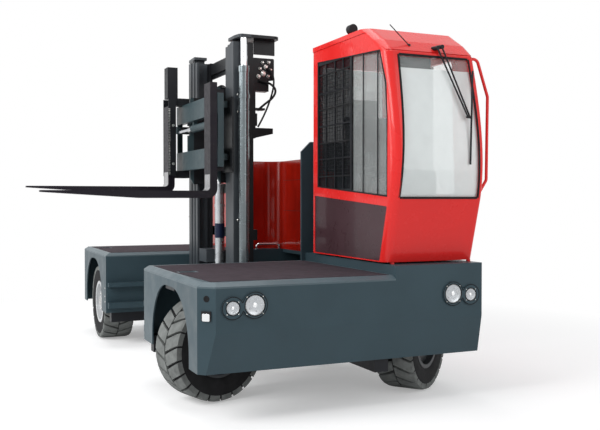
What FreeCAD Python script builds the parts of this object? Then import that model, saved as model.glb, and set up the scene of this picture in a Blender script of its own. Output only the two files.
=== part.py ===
import FreeCAD, Part
import math
import os

# Electric sideloader. Millimetres. While it is being built, X runs from the load side (0) to the cab side,
# Y from the front face (0) to the rear, and Z up from the ground. export_all() then moves everything so
# that the origin is the middle of the whole machine's footprint.

V = FreeCAD.Vector
X_AXIS, Y_AXIS, Z_AXIS = V(1, 0, 0), V(0, 1, 0), V(0, 0, 1)

# ---- chassis
CHASSIS_W = 2400
FRONT_LEN = 1740
WELL_LEN = 1807
REAR_LEN = 1404
SKIRT_Z = 380
SHELL_TOP = 1001
PLATE_T = 12
KNEE_Z = 682
TUCK = 56
CORNER_CUT = 106
DECK_EDGE_T = 12
DECK_BEVEL_H = 28
DECK_BEVEL_W = 45
PLINTH_X = 1583
PLINTH_H = 117
FRAME_Z = 275
SIDE_GIRDER_X = (2120, 2230)
SIDE_GIRDER_TOP = 700
POCKET = (140, 90)
POCKET_R = 30
POCKET_FLOOR = 6

# ---- wheels
WHEEL_R = 427
TYRE_W = 335
RIM_R = 252
FRONT_LOAD_WHEEL = (350, 893)
FRONT_CAB_WHEEL = (2064, 560)
REAR_WHEEL_INSET = 211
REAR_AXLE_Y = FRONT_LEN + WELL_LEN + 700
STEER_REST = {"load": -75, "cab": -54}
ARCH_TOP_Z = 942
FRONT_ARCH_Y = 880
FRONT_ARCH_HALF = 560
CAB_ARCH_HALF = 372
REAR_ARCH_HALF = 490
REAR_ARCH_Y = FRONT_LEN + WELL_LEN + 756
KINGPIN_R = 105
RING_T = 22
RING_GAP = 1.5

# ---- mast well and reach
RAIL_D = 78
RAIL_TOP = 716
RAIL_BOTTOM = 437
RAIL_TOP_FLANGE = 44
RAIL_BOTTOM_FLANGE = 63
RAIL_WEB = 16
RAIL_X0 = 15
RAIL_X1 = 2085
ROLLER_GAP = 2

# ---- mast
MAST_X0 = 905
MAST_DEPTH = 205
MAST_HALF = 750
MAST_Y = FRONT_LEN + WELL_LEN / 2
MAST_BOTTOM = 360
MAST_TOP = 3150
CHANNEL_W = (95, 80, 75)
CHANNEL_STEP = 7
CHANNEL_GAP = 10
FLANGE_T = 25
WEB_T = 18
LIFT_CYL_R = 50
LIFT_CYL_X = 990
LIFT_ROD_R = 33
LIFT_CYL_BOTTOM = 780
LIFT_CYL_TOP = 2895
TOP_PLATE_Z = 3178
TOP_PLATE_T = 28
FREE_CYL_R = 50
FREE_CYL_X = 1015
OUTER_BEAM_GAP = 18
OUTER_BEAM_T = 22
FREE_CYL_TOP = 1800
FREE_ROD_R = 32
TILT_PIVOT_Z = 470
TILT_PIN_R = 28
TILT_PIN_GAP = 0.5
TILT_EYE_Z = 860
TILT_X = 1010
TILT_CYL_HALF = 560
TILT_BARREL_R = 44
TILT_BORE_R = 31
TILT_ROD_R = 15
CARRIAGE_X0 = 818
CARRIAGE_X1 = MAST_X0 + MAST_DEPTH + 140
SIDE_T = 20

# ---- fork carriage and forks
BEAM_X = 746
BEAM_T = 60
BEAM_Y0 = MAST_Y - 758.5
BEAM_Y1 = MAST_Y + 686.5
UPPER_BEAM = (2455, 2650)
LOWER_BEAM = (1947, 2144)
SHIELD_X = (880, 896)
SHIELD_Z = (1898, 2615)
NEAR_SHIELD_Y = (MAST_Y - 783.5, MAST_Y - 503.5)
FAR_SHIELD_Y = (MAST_Y + 503.5, MAST_Y + 616.5)
FORK_W = 190
FORK_T = 70
FORK_TIP_X = -868
FORK_TIP_T = 16
FORK_TIP_W = 96
NEAR_FORK_Y = MAST_Y - 653.5
NEAR_FORK_TOP = 1719
NEAR_SHANK_TOP = 2749
FAR_FORK_Y = MAST_Y + 538.5
FAR_FORK_TOP = 1774
FAR_SHANK_TOP = 2640
FORK_GAP = 1.5
GUIDE_BACK_X = 668
GUIDE_FRONT_X = 583
GUIDE_PLATE_T = 10
GUIDE_FLANGE_T = 10
GUIDE_SIDE_GAP = 2
GUIDE_BACK_GAP = 3
GUIDE_BOTTOM = 1890
GUIDE_TOP = 2725
GROOVE = (14, 9)
HOUSING_X = (587, 698)
HOUSING_W = 138
LEVEL_HOUSING_TOP = 3060
GUIDE_HOOK_H = 78
POSITIONER_IN = 44
POSITIONER_Z = 2381
POSITIONER_Y = (MAST_Y - 403.5, MAST_Y + 186.5)

# ---- cab
CAB_X0 = 1555
CAB_X1 = 2400
CAB_BOTTOM = 1133
CAB_REAR = 1495
CAB_FOOT_Y = 140
CAB_WAIST_Z = 1642
CAB_WAIST_Y = 0
CAB_NOSE_Z = 2020
CAB_NOSE_Y = -28
CAB_BROW_Z = 2822
CAB_BROW_Y = 128
CAB_ROOF_Z = 3058
CAB_CORNER_R = 85
CAB_DOOR_CORNER_R = 35
CAB_REAR_R = 30
CAB_WALL = 42
FLOOR_Z = 1345
GLASS_T = 6
GLASS_INSET = 16
SEAL_GAP = 4
DOOR_Y = (262, 1250)
DOOR_Z = (1352, 2890)
DOOR_GAP = 8
BULKHEAD_X = 1540
BULKHEAD_T = 26
BULKHEAD_LOW = 2100
BULKHEAD_HIGH = 2196

# ---- hood over the battery
HOOD_WALL_X = 2112
HOOD_REAR_Y = FRONT_LEN + WELL_LEN + 159
HOOD_TOP = 2093
HOOD_T = 10
HOOD_CORNER_R = 190
BATTERY = (700, 1040, 780)

FRONT_END = FRONT_LEN
REAR_START = FRONT_LEN + WELL_LEN
REAR_END = REAR_START + REAR_LEN
DECK_Z = SHELL_TOP + DECK_EDGE_T + DECK_BEVEL_H
PLINTH_Z = SHELL_TOP + PLINTH_H
MAST_X1 = MAST_X0 + MAST_DEPTH


# ---- shapes

def box(x0, x1, y0, y1, z0, z1):
    return Part.makeBox(x1 - x0, y1 - y0, z1 - z0, V(x0, y0, z0))


def rod(start, end, radius):
    start, end = V(*start), V(*end)
    return Part.makeCylinder(radius, (end - start).Length, start, end - start)


def tube(start, end, outer, inner):
    return rod(start, end, outer).cut(rod(start, end, inner))


def union(shapes):
    if len(shapes) == 1:
        return shapes[0]
    return shapes[0].multiFuse(shapes[1:]).removeSplitter()


def less(shape, tools):
    for tool in tools:
        shape = shape.cut(tool)
    return shape


def point(plane, u, v, level):
    return {"xy": V(u, v, level), "xz": V(u, level, v), "yz": V(level, u, v)}[plane]


def outline(plane, level, corners):
    """A closed wire through (u, v, radius) corners, each rounded by its radius."""
    runs = []
    for i, (u, v, radius) in enumerate(corners):
        here = point(plane, u, v, level)
        before = point(plane, *corners[i - 1][:2], level) - here
        after = point(plane, *corners[(i + 1) % len(corners)][:2], level) - here
        before.normalize()
        after.normalize()
        if radius <= 0:
            runs.append((here, None, here))
            continue
        half = before.getAngle(after) / 2
        reach = radius / math.tan(half)
        bisector = before + after
        bisector.normalize()
        middle = here + bisector * (radius / math.sin(half) - radius)
        runs.append((here + before * reach, middle, here + after * reach))
    edges = []
    for i, (start, middle, end) in enumerate(runs):
        if middle is not None:
            edges.append(Part.Arc(start, middle, end).toShape())
        following = runs[(i + 1) % len(runs)][0]
        if (following - end).Length > 1e-6:
            edges.append(Part.LineSegment(end, following).toShape())
    return Part.Wire(edges)


def prism(plane, low, high, corners):
    """The outline extruded from one level to another along the plane's normal."""
    corners = [corner if len(corner) == 3 else (*corner, 0) for corner in corners]
    face = Part.Face(outline(plane, low, corners))
    return face.extrude(point(plane, 0, 0, high - low))


def turned(corners, centre=(0, 0, 0), axis=X_AXIS):
    """A solid of revolution from (along, radius, rounding) corners about X."""
    face = Part.Face(outline("xz", 0, corners))
    solid = face.revolve(V(0, 0, 0), axis, 360)
    solid.translate(V(*centre))
    return solid


def sweep(points, radius, bend):
    """A round bar along straight runs joined by tangent arcs."""
    points = [V(*p) for p in points]
    edges = []
    start = points[0]
    for before, here, after in zip(points, points[1:], points[2:]):
        a, b = before - here, after - here
        a.normalize()
        b.normalize()
        half = a.getAngle(b) / 2
        reach = bend / math.tan(half)
        bisector = a + b
        bisector.normalize()
        middle = here + bisector * (bend / math.sin(half) - bend)
        edges.append(Part.LineSegment(start, here + a * reach).toShape())
        edges.append(Part.Arc(here + a * reach, middle, here + b * reach).toShape())
        start = here + b * reach
    edges.append(Part.LineSegment(start, points[-1]).toShape())
    path = Part.Wire(edges)
    direction = points[1] - points[0]
    ring = Part.Wire(Part.Circle(points[0], direction, radius).toShape())
    return path.makePipeShell([ring], True, True)


def mirrored_y(shape, y):
    return shape.mirror(V(0, y, 0), Y_AXIS)


# ---- chassis

def arch(y, half, x0, x1):
    """The wheel opening of a side plate: straight legs under a round top."""
    top = ARCH_TOP_Z
    corners = [(y - half, SKIRT_Z - 60, 0), (y + half, SKIRT_Z - 60, 0),
               (y + half, top, half * 0.85), (y - half, top, half * 0.85)]
    return prism("yz", x0, x1, corners)


def front_body():
    """Front module: folded front plate, corner plate, both sides and the plate on the well."""
    def block(inset, bottom):
        plan = [(inset, CORNER_CUT + inset * 0.414, 0), (CORNER_CUT + inset * 0.414, inset, 0),
                (CHASSIS_W - inset, inset, 0), (CHASSIS_W - inset, FRONT_END - inset, 0),
                (inset, FRONT_END - inset, 0)]
        solid = prism("xy", bottom, SHELL_TOP, plan)
        below = [(inset - 1, bottom - 1), (inset - 1, KNEE_Z), (inset, KNEE_Z),
                 (inset + TUCK, SKIRT_Z), (inset + TUCK, bottom - 1)]
        return solid.cut(prism("yz", -10, CHASSIS_W + 10, below))

    shell = block(0, SKIRT_Z).cut(block(PLATE_T, SKIRT_Z - 5))
    cab_y = FRONT_CAB_WHEEL[1]
    openings = [arch(FRONT_ARCH_Y, FRONT_ARCH_HALF, -20, PLATE_T + 5),
                arch(cab_y, CAB_ARCH_HALF, CHASSIS_W - PLATE_T - 5, CHASSIS_W + 20),
                step_pocket(0), girder_slot(FRONT_END - PLATE_T - 5, FRONT_END + 5)]
    return less(shell, openings)


def girder_slot(y0, y1):
    """Slot in a well plate for the side girder that runs through it."""
    return box(SIDE_GIRDER_X[0], SIDE_GIRDER_X[1], y0, y1, FRAME_Z, SIDE_GIRDER_TOP)


def rear_body():
    """Rear module: four plates with an arch on each side."""
    y0, y1 = REAR_START, REAR_END
    outer = prism("xy", SKIRT_Z, SHELL_TOP, [(0, y0), (CHASSIS_W, y0), (CHASSIS_W, y1), (0, y1)])
    inner = box(PLATE_T, CHASSIS_W - PLATE_T, y0 + PLATE_T, y1 - PLATE_T, SKIRT_Z - 5, SHELL_TOP + 5)
    openings = [arch(REAR_ARCH_Y, REAR_ARCH_HALF, -20, PLATE_T + 5),
                arch(REAR_ARCH_Y, REAR_ARCH_HALF, CHASSIS_W - PLATE_T - 5, CHASSIS_W + 20),
                girder_slot(y0 - 5, y0 + PLATE_T + 5)]
    return less(outer.cut(inner), openings)


def deck(plan, bevelled):
    """A deck plate whose outer edges are bevelled down to the side plates."""
    solid = prism("xy", SHELL_TOP, DECK_Z, plan)
    edge_top = SHELL_TOP + DECK_EDGE_T
    cuts = []
    for start, end in bevelled:
        start, end = V(*start, 0), V(*end, 0)
        along = (end - start).normalize()
        inward = V(-along.y, along.x, 0)
        a = start - along * 200
        b = end + along * 200
        face = Part.Face(Part.makePolygon([
            a + V(0, 0, edge_top), a + V(0, 0, DECK_Z + 1) - inward * 1,
            a + inward * DECK_BEVEL_W + V(0, 0, DECK_Z + 1) + inward * (DECK_BEVEL_W / DECK_BEVEL_H),
            a + V(0, 0, edge_top)]))
        cuts.append(face.extrude(b - a))
    return less(solid, cuts)


def pocket_places():
    """Lashing points near the load-side edge of both decks."""
    return [(180, 971, DECK_Z), (180, REAR_START + 1007, DECK_Z)]


def front_deck():
    plan = [(0, CORNER_CUT), (CORNER_CUT, 0), (PLINTH_X, 0), (PLINTH_X, FRONT_END - BULKHEAD_T),
            (BULKHEAD_X, FRONT_END - BULKHEAD_T), (BULKHEAD_X, FRONT_END), (0, FRONT_END)]
    edges = [((0, FRONT_END), (0, CORNER_CUT)), ((0, CORNER_CUT), (CORNER_CUT, 0)),
             ((CORNER_CUT, 0), (PLINTH_X, 0))]
    return with_lashing_point(deck(plan, edges), pocket_places()[0])


def rear_deck():
    y0, y1 = REAR_START, REAR_END
    plan = [(0, y0), (PLINTH_X, y0), (PLINTH_X, y1), (0, y1)]
    edges = [((0, y1), (0, y0)), ((0, y0), (PLINTH_X, y0))]
    return with_lashing_point(deck(plan, edges), pocket_places()[1])


def with_lashing_point(plate, place):
    """A deck plate with a shallow cup and a bar across it."""
    x, y, z = place

    def pan(inset, low, high):
        a, b, r = POCKET[0] / 2 - inset, POCKET[1] / 2 - inset, POCKET_R - inset
        corners = [(x - a, y - b, r), (x + a, y - b, r), (x + a, y + b, r), (x - a, y + b, r)]
        return prism("xy", low, high, corners)

    bar = rod((x, y - POCKET[1] / 2 - 2, z - 14), (x, y + POCKET[1] / 2 + 2, z - 14), 7)
    return union([plate.cut(pan(0, SHELL_TOP + POCKET_FLOOR, z + 1)), bar])


def cab_plinth():
    """Raised platform that carries the cab, with a ledge under the bulkhead's load-side edge."""
    ledge = box(BULKHEAD_X, PLINTH_X, FRONT_END - BULKHEAD_T, FRONT_END, SHELL_TOP, DECK_Z)
    return union([box(PLINTH_X, CHASSIS_W, 0, FRONT_END, SHELL_TOP, PLINTH_Z), ledge])


def hood_platform():
    """Platform under the hood: along the cab side of the well, then on the rear module."""
    return union([box(HOOD_WALL_X, CHASSIS_W, FRONT_END, REAR_START, SHELL_TOP, DECK_Z),
                  box(PLINTH_X, CHASSIS_W, REAR_START, REAR_END, SHELL_TOP, DECK_Z)])


def side_skirt():
    """Plate that closes the cab side between the two modules."""
    return box(CHASSIS_W - PLATE_T, CHASSIS_W, FRONT_END, REAR_START, SKIRT_Z, SHELL_TOP)


STEP_Y = (1010, 1420)
STEP_DEPTH = 150


def step_pocket(wall):
    y0, y1 = STEP_Y
    return box(CHASSIS_W - STEP_DEPTH + wall, CHASSIS_W + 5, y0 + wall, y1 - wall, 470 + wall, 960 - wall)


def cab_steps():
    """Recess in the cab-side plate with two treads."""
    y0, y1 = STEP_Y
    shell = less(box(CHASSIS_W - STEP_DEPTH, CHASSIS_W, y0, y1, 470, 960), [step_pocket(6)])
    treads = [box(CHASSIS_W - STEP_DEPTH + 6, CHASSIS_W, y0 + 6, y1 - 6, z, z + 12) for z in (640, 800)]
    return union([shell] + treads)


def main_frame():
    """Girders under both modules, the low beam of the well and the carriers of the kingpins."""
    lx, ly = FRONT_LOAD_WHEEL
    cx, cy = FRONT_CAB_WHEEL
    carrier_z = WHEEL_R * 2 + 34 + RING_T + RING_GAP
    spine_x0, spine_x1 = 1440, 1560
    members = [
        box(spine_x0, spine_x1, 80, FRONT_END - PLATE_T, FRAME_Z, SHELL_TOP),
        box(PLATE_T, spine_x0, ly - 130, ly + 130, carrier_z, SHELL_TOP),
        box(spine_x1, CHASSIS_W - PLATE_T, cy - 130, cy + 130, carrier_z, SHELL_TOP),
        box(60, 2230, FRONT_END - 110, FRONT_END - PLATE_T, FRAME_Z, 425),
        box(60, 2230, REAR_START + PLATE_T, REAR_START + 110, FRAME_Z, 425),
        box(1700, 1860, FRONT_END - 110, REAR_START + 110, FRAME_Z, FRAME_Z + 60),
        box(*SIDE_GIRDER_X, 1110, REAR_START + 110, FRAME_Z, SIDE_GIRDER_TOP),
        box(spine_x1, 2230, 1110, 1200, FRAME_Z, 425),
        box(1180, 1300, REAR_START + 110, REAR_END - PLATE_T, FRAME_Z + 260, SHELL_TOP),
        box(1180, 1300, REAR_START + PLATE_T, REAR_START + 110, 425, SHELL_TOP),
    ]
    sockets = [rod((x, y, carrier_z - 1), (x, y, carrier_z + 60), KINGPIN_R + 0.5)
               for x, y in (FRONT_LOAD_WHEEL, FRONT_CAB_WHEEL)]
    return less(union(members), sockets)


def guide_rails():
    """Channel rails for the mast carriage, one on each face of the well."""
    y = FRONT_END
    corners = [(y, RAIL_BOTTOM), (y + RAIL_D, RAIL_BOTTOM), (y + RAIL_D, RAIL_BOTTOM + RAIL_BOTTOM_FLANGE),
               (y + RAIL_WEB, RAIL_BOTTOM + RAIL_BOTTOM_FLANGE), (y + RAIL_WEB, RAIL_TOP - RAIL_TOP_FLANGE),
               (y + RAIL_D, RAIL_TOP - RAIL_TOP_FLANGE), (y + RAIL_D, RAIL_TOP), (y, RAIL_TOP)]
    rail = prism("yz", RAIL_X0, RAIL_X1, corners)
    return Part.makeCompound([rail, mirrored_y(rail, (FRONT_END + REAR_START) / 2)])


def bulkhead():
    """Steel wall behind the cab, its load-side top corner cut at a slant."""
    slant = BULKHEAD_HIGH - BULKHEAD_LOW
    corners = [(BULKHEAD_X, DECK_Z), (PLINTH_X, DECK_Z), (PLINTH_X, PLINTH_Z), (CHASSIS_W, PLINTH_Z),
               (CHASSIS_W, BULKHEAD_HIGH), (BULKHEAD_X + slant, BULKHEAD_HIGH), (BULKHEAD_X, BULKHEAD_LOW)]
    return prism("xz", FRONT_END - BULKHEAD_T, FRONT_END, corners)


def power_hood():
    """Cover of the battery: along the cab side, then across the rear module."""
    def block(t):
        r = HOOD_CORNER_R
        plan = [(HOOD_WALL_X + t, FRONT_END + 4 + t, 20), (CHASSIS_W - t, FRONT_END + 4 + t, 20),
                (CHASSIS_W - t, REAR_END - t, 60), (PLINTH_X + t, REAR_END - t, 60),
                (PLINTH_X + t, HOOD_REAR_Y + t, 60), (HOOD_WALL_X + t, HOOD_REAR_Y + t, r)]
        return prism("xy", DECK_Z, HOOD_TOP - t, plan)
    return block(0).cut(block(HOOD_T).translated(V(0, 0, -1)))


def battery():
    w, l, h = BATTERY
    x0 = (PLINTH_X + CHASSIS_W) / 2 - w / 2
    y0 = (HOOD_REAR_Y + REAR_END) / 2 - l / 2
    return box(x0, x0 + w, y0, y0 + l, DECK_Z, DECK_Z + h)


def hood_step():
    """Bent tube step in front of the rear part of the hood."""
    y, z = HOOD_REAR_Y - 120, DECK_Z + 60
    x0, x1 = HOOD_WALL_X - 322, HOOD_WALL_X - 27
    return sweep([(x0, y, DECK_Z), (x0, y, z), (x1, y, z), (x1, y, DECK_Z)], 12, 30)


# ---- wheels and axles

def tyre():
    """Solid tyre about X through the origin."""
    half, r, bore = TYRE_W / 2, WHEEL_R, RIM_R - 18
    return turned([(-half + 22, bore, 4), (half - 22, bore, 4), (half - 4, bore + 34, 20),
                   (half - 2, r - 40, 30), (half - 20, r, 18), (-half + 20, r, 18),
                   (-half + 2, r - 40, 30), (-half + 4, bore + 34, 20)])


RIM_SEAT_GAP = 0.5
HUB_R = 92


def rim():
    """Disc wheel with its dish on the outer (-X) side and a hub for the axle."""
    seat = RIM_R - 18 - RIM_SEAT_GAP
    half = TYRE_W / 2 - 24
    ring = turned([(-half - 8, seat - 22, 0), (half + 8, seat - 22, 0), (half + 8, seat, 0),
                   (-half - 8, seat, 0)])
    lip = turned([(-half - 14, seat - 24, 4), (-half, seat - 24, 0), (-half, seat, 0),
                  (-half + 0.5, seat + 1, 0), (-half - 6, RIM_R - 8, 3), (-half - 14, RIM_R - 8, 3)])
    dish = turned([(-half + 24, 0, 0), (-half + 44, 0, 0), (-half + 44, 120, 20), (-half + 70, seat - 10, 0),
                   (-half + 44, seat - 10, 0), (-half + 24, 126, 20)])
    hub = turned([(-half - 2, 0, 0), (60, 0, 0), (60, HUB_R, 6), (-half + 30, HUB_R, 0),
                  (-half + 20, 70, 6), (-half - 2, 62, 8)])
    return union([ring, lip, dish, hub])


SPINDLE_R = 38
SPINDLE_GAP = 0.4


def rim_with_bore():
    """The rim with the blind bore that turns on its spindle."""
    half = TYRE_W / 2 - 24
    return rim().cut(rod((-half + 40, 0, 0), (100, 0, 0), SPINDLE_R + SPINDLE_GAP))


def knuckle():
    """Steering knuckle about the wheel centre: ring, bridge over the tyre, leg and spindle."""
    top = WHEEL_R + 34
    leg0 = TYRE_W / 2 + 14
    leg1 = leg0 + 46
    ring = rod((0, 0, top), (0, 0, top + RING_T), 150)
    pin = rod((0, 0, top), (0, 0, top + RING_T + 56), KINGPIN_R)
    bridge = prism("xz", -85, 85, [(-150, top - 24), (leg1, top - 24), (leg1, top), (-150, top)])
    leg = prism("yz", leg0, leg1, [(-130, top - 2, 0), (130, top - 2, 0), (95, -70, 60), (-95, -70, 60)])
    boss = rod((64, 0, 0), (leg1, 0, 0), 80)
    spindle = rod((-60, 0, 0), (leg1, 0, 0), SPINDLE_R)
    return union([ring, pin, bridge, leg, boss, spindle])


def placed(shape, x, y, side, steer):
    """Puts a wheel part at its place; the +X side is turned half a turn about Z first."""
    moved = shape.copy()
    if side == "cab":
        moved.rotate(V(0, 0, 0), Z_AXIS, 180)
    moved.rotate(V(0, 0, 0), Z_AXIS, steer)
    moved.translate(V(x, y, WHEEL_R))
    return moved


def wheel_places():
    return {"front_load": (*FRONT_LOAD_WHEEL, "load", STEER_REST["load"]),
            "front_cab": (*FRONT_CAB_WHEEL, "cab", STEER_REST["cab"]),
            "rear_load": (REAR_WHEEL_INSET, REAR_AXLE_Y, "load", 0),
            "rear_cab": (CHASSIS_W - REAR_WHEEL_INSET, REAR_AXLE_Y, "cab", 0)}


def rear_axle():
    """Box axle with a boss and a spindle at each end, held by two hangers."""
    x0 = REAR_WHEEL_INSET + TYRE_W / 2 + 14
    x1 = CHASSIS_W - x0
    y, z = REAR_AXLE_Y, WHEEL_R
    beam = box(x0, x1, y - 75, y + 75, z - 75, z + 75)
    hangers = [box(x - 40, x + 40, y - 75, y + 75, z + 75, SHELL_TOP) for x in (620, 1780)]
    ends = []
    for x, sign in ((REAR_WHEEL_INSET, 1), (CHASSIS_W - REAR_WHEEL_INSET, -1)):
        ends.append(rod((x + sign * 64, y, z), (x + sign * 240, y, z), 72))
        ends.append(rod((x - sign * 60, y, z), (x + sign * 240, y, z), SPINDLE_R))
    return union([beam] + hangers + ends)


# ---- mast carriage (reach)

def carriage_side_y():
    return FRONT_END + RAIL_D + 8


def mast_carriage():
    """Frame that rolls along the rails and carries the mast on its tilt pins."""
    y0 = carriage_side_y()
    y1 = 2 * MAST_Y - y0
    low = FRAME_Z + 75
    axle_z = (RAIL_BOTTOM + RAIL_BOTTOM_FLANGE + RAIL_TOP - RAIL_TOP_FLANGE) / 2
    side = prism("xz", y0, y0 + SIDE_T, [(CARRIAGE_X0, low, 30), (CARRIAGE_X1, low, 30),
                                         (CARRIAGE_X1, RAIL_TOP, 30), (CARRIAGE_X0, RAIL_TOP, 30)])
    ties = [box(CARRIAGE_X1 - 70, CARRIAGE_X1, y0, y1, low, low + 120),
            box(CARRIAGE_X1 - 25, CARRIAGE_X1, y0, y1, 560, RAIL_TOP)]
    pins = []
    for sign in (-1, 1):
        end = MAST_Y + sign * (MAST_Y - carriage_side_y() - SIDE_T / 2)
        start = MAST_Y + sign * (MAST_HALF - 30)
        pins.append(rod((TILT_X, start, TILT_PIVOT_Z), (TILT_X, end, TILT_PIVOT_Z), TILT_PIN_R))
    frame = union([side, mirrored_y(side, MAST_Y)] + roller_set(axle_z) + ties + pins)
    return union([frame] + tilt_cylinders())


def roller_set(axle_z):
    radius = (RAIL_TOP - RAIL_TOP_FLANGE - RAIL_BOTTOM - RAIL_BOTTOM_FLANGE) / 2 - ROLLER_GAP
    rollers = []
    for x in (CARRIAGE_X0 + 90, CARRIAGE_X1 - 100):
        near = rod((x, FRONT_END + RAIL_WEB + 6, axle_z), (x, carriage_side_y() + 2, axle_z), radius)
        rollers += [near, mirrored_y(near, MAST_Y)]
    return rollers


# ---- mast

def channel(stage, y_sign):
    """One upright of a stage: a channel open towards the middle of the mast."""
    outer = MAST_HALF - sum(CHANNEL_W[:stage]) - CHANNEL_GAP * stage
    inner = outer - CHANNEL_W[stage]
    x0, x1 = MAST_X0 + CHANNEL_STEP * stage, MAST_X1 - CHANNEL_STEP * stage
    corners = [(x0, outer), (x0, inner), (x0 + FLANGE_T, inner), (x0 + FLANGE_T, outer - WEB_T),
               (x1 - FLANGE_T, outer - WEB_T), (x1 - FLANGE_T, inner), (x1, inner), (x1, outer)]
    corners = [(x, MAST_Y + y_sign * y) for x, y in corners]
    return prism("xy", MAST_BOTTOM, MAST_TOP - 8 * stage, corners)


def stage_edges(stage):
    outer = MAST_HALF - sum(CHANNEL_W[:stage]) - CHANNEL_GAP * stage
    return outer, outer - CHANNEL_W[stage]


def mast_outer():
    """Outer stage: uprights, cross beams behind them, ears of the tilt pins and the valve bracket."""
    uprights = [channel(0, sign) for sign in (-1, 1)]
    x0 = MAST_X1 + OUTER_BEAM_GAP
    outer, inner = stage_edges(0)
    beams = []
    for z0, z1 in ((430, 560), (1240, 1340), (2350, 2470)):
        beams.append(box(x0, x0 + OUTER_BEAM_T, MAST_Y - outer, MAST_Y + outer, z0, z1))
    for z0, z1 in ((430, 560), (TILT_EYE_Z - 45, TILT_EYE_Z + 45), (1240, 1340), (2350, 2470)):
        for sign in (-1, 1):
            a, b = sorted((MAST_Y + sign * outer, MAST_Y + sign * (inner + 12)))
            beams.append(box(MAST_X1, x0, a, b, z0, z1))
    ears, holes = [], []
    for sign in (-1, 1):
        wall = MAST_Y + sign * MAST_HALF
        a, b = sorted((wall, wall + sign * 22))
        ears.append(prism("xz", a, b, [(TILT_X - 70, TILT_PIVOT_Z - 60, 40),
                                       (TILT_X + 70, TILT_PIVOT_Z - 60, 40),
                                       (TILT_X + 70, TILT_PIVOT_Z + 160, 10),
                                       (TILT_X - 70, TILT_PIVOT_Z + 160, 10)]))
        holes.append(rod((TILT_X, wall - sign * 60, TILT_PIVOT_Z), (TILT_X, wall + sign * 60, TILT_PIVOT_Z),
                         TILT_PIN_R + TILT_PIN_GAP))
    return less(union(uprights + beams + ears + cylinder_feet() + mast_bracket() + tilt_rods()), holes)


def lift_cylinder_y(sign):
    return MAST_Y + sign * (MAST_HALF + LIFT_CYL_R + 14)


def cylinder_feet():
    """Brackets on the outer stage that the side cylinders stand on."""
    parts = []
    for sign in (-1, 1):
        a, b = sorted((lift_cylinder_y(sign) + sign * LIFT_CYL_R, MAST_Y + sign * MAST_HALF))
        parts.append(box(LIFT_CYL_X - 60, LIFT_CYL_X + 60, a, b, LIFT_CYL_BOTTOM - 30, LIFT_CYL_BOTTOM))
    return parts


def lift_cylinders():
    """Barrels of the two side cylinders with their gland collars and clamps."""
    barrels = []
    for sign in (-1, 1):
        y = lift_cylinder_y(sign)
        wall = MAST_Y + sign * MAST_HALF
        barrel = rod((LIFT_CYL_X, y, LIFT_CYL_BOTTOM), (LIFT_CYL_X, y, LIFT_CYL_TOP), LIFT_CYL_R)
        collars = [rod((LIFT_CYL_X, y, z), (LIFT_CYL_X, y, z + h), LIFT_CYL_R + 6)
                   for z, h in ((2600, 36), (LIFT_CYL_TOP - 45, 57))]
        clamps = []
        for z in (1450, 2480):
            a, b = sorted((y, wall))
            clamps.append(box(LIFT_CYL_X - 45, LIFT_CYL_X + 45, a, b, z, z + 50))
        bore = rod((LIFT_CYL_X, y, LIFT_CYL_BOTTOM + 30), (LIFT_CYL_X, y, LIFT_CYL_TOP + 20), LIFT_ROD_R + 1)
        barrels.append(union([barrel] + collars + clamps).cut(bore))
    return Part.makeCompound(barrels)


def lift_rods():
    """Rods of the side cylinders under the heads of the middle stage."""
    rods = []
    for sign in (-1, 1):
        y = lift_cylinder_y(sign)
        rods.append(rod((LIFT_CYL_X, y, LIFT_CYL_BOTTOM + 60), (LIFT_CYL_X, y, TOP_PLATE_Z), LIFT_ROD_R))
    return Part.makeCompound(rods)


def mast_middle():
    """Middle stage with a plate on top of each upright that the rods push on."""
    uprights = [channel(1, sign) for sign in (-1, 1)]
    outer, inner = stage_edges(1)
    x1 = MAST_X1 - CHANNEL_STEP
    beams = [box(x1, x1 + 16, MAST_Y - outer, MAST_Y + outer, z0, z1)
             for z0, z1 in ((600, 700), (1900, 2000), (2960, 3080))]
    near = lift_cylinder_y(-1)
    far = lift_cylinder_y(1)
    near_head = prism("xy", TOP_PLATE_Z, TOP_PLATE_Z + TOP_PLATE_T,
                      [(LIFT_CYL_X - 52, near - 45, 40), (1345, near - 45, 60), (1345, MAST_Y - inner, 60),
                       (MAST_X0 + 10, MAST_Y - inner, 12), (MAST_X0 + 10, near + 60, 12)])
    far_head = prism("xy", TOP_PLATE_Z, TOP_PLATE_Z + TOP_PLATE_T,
                     [(MAST_X0 + 10, MAST_Y + inner, 10), (1060, MAST_Y + inner, 10), (1060, far + 42, 40),
                      (LIFT_CYL_X - 60, far + 42, 40)])
    top = MAST_TOP - 8
    posts = []
    for sign in (-1, 1):
        a, b = sorted((MAST_Y + sign * outer, MAST_Y + sign * (outer - WEB_T)))
        posts.append(box(MAST_X0 + 30, 1050, a, b, top, TOP_PLATE_Z))
    web = box(MAST_X1 + 10, 1335, MAST_Y - MAST_HALF + 8, MAST_Y - MAST_HALF + 24, 3040, TOP_PLATE_Z)
    return union(uprights + beams + [near_head, far_head, web] + posts)


def mast_inner():
    """Inner stage; the fork carriage rolls in it. A closed box hangs on its second beam."""
    uprights = [channel(2, sign) for sign in (-1, 1)]
    outer, inner = stage_edges(2)
    x1 = MAST_X1 - CHANNEL_STEP * 2
    beams = [box(x1 - WEB_T, x1, MAST_Y - inner, MAST_Y + inner, z0, z1)
             for z0, z1 in ((420, 560), (966, 1104), (1700, 1800), (3000, 3120))]
    shoe = box(FREE_CYL_X - 60, x1 - WEB_T, MAST_Y - 60, MAST_Y + 60, 420, 460)
    valve_box = box(925, x1 - WEB_T, MAST_Y + 175, MAST_Y + 430, 966, 1104)
    return union(uprights + beams + [shoe, valve_box])


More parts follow.
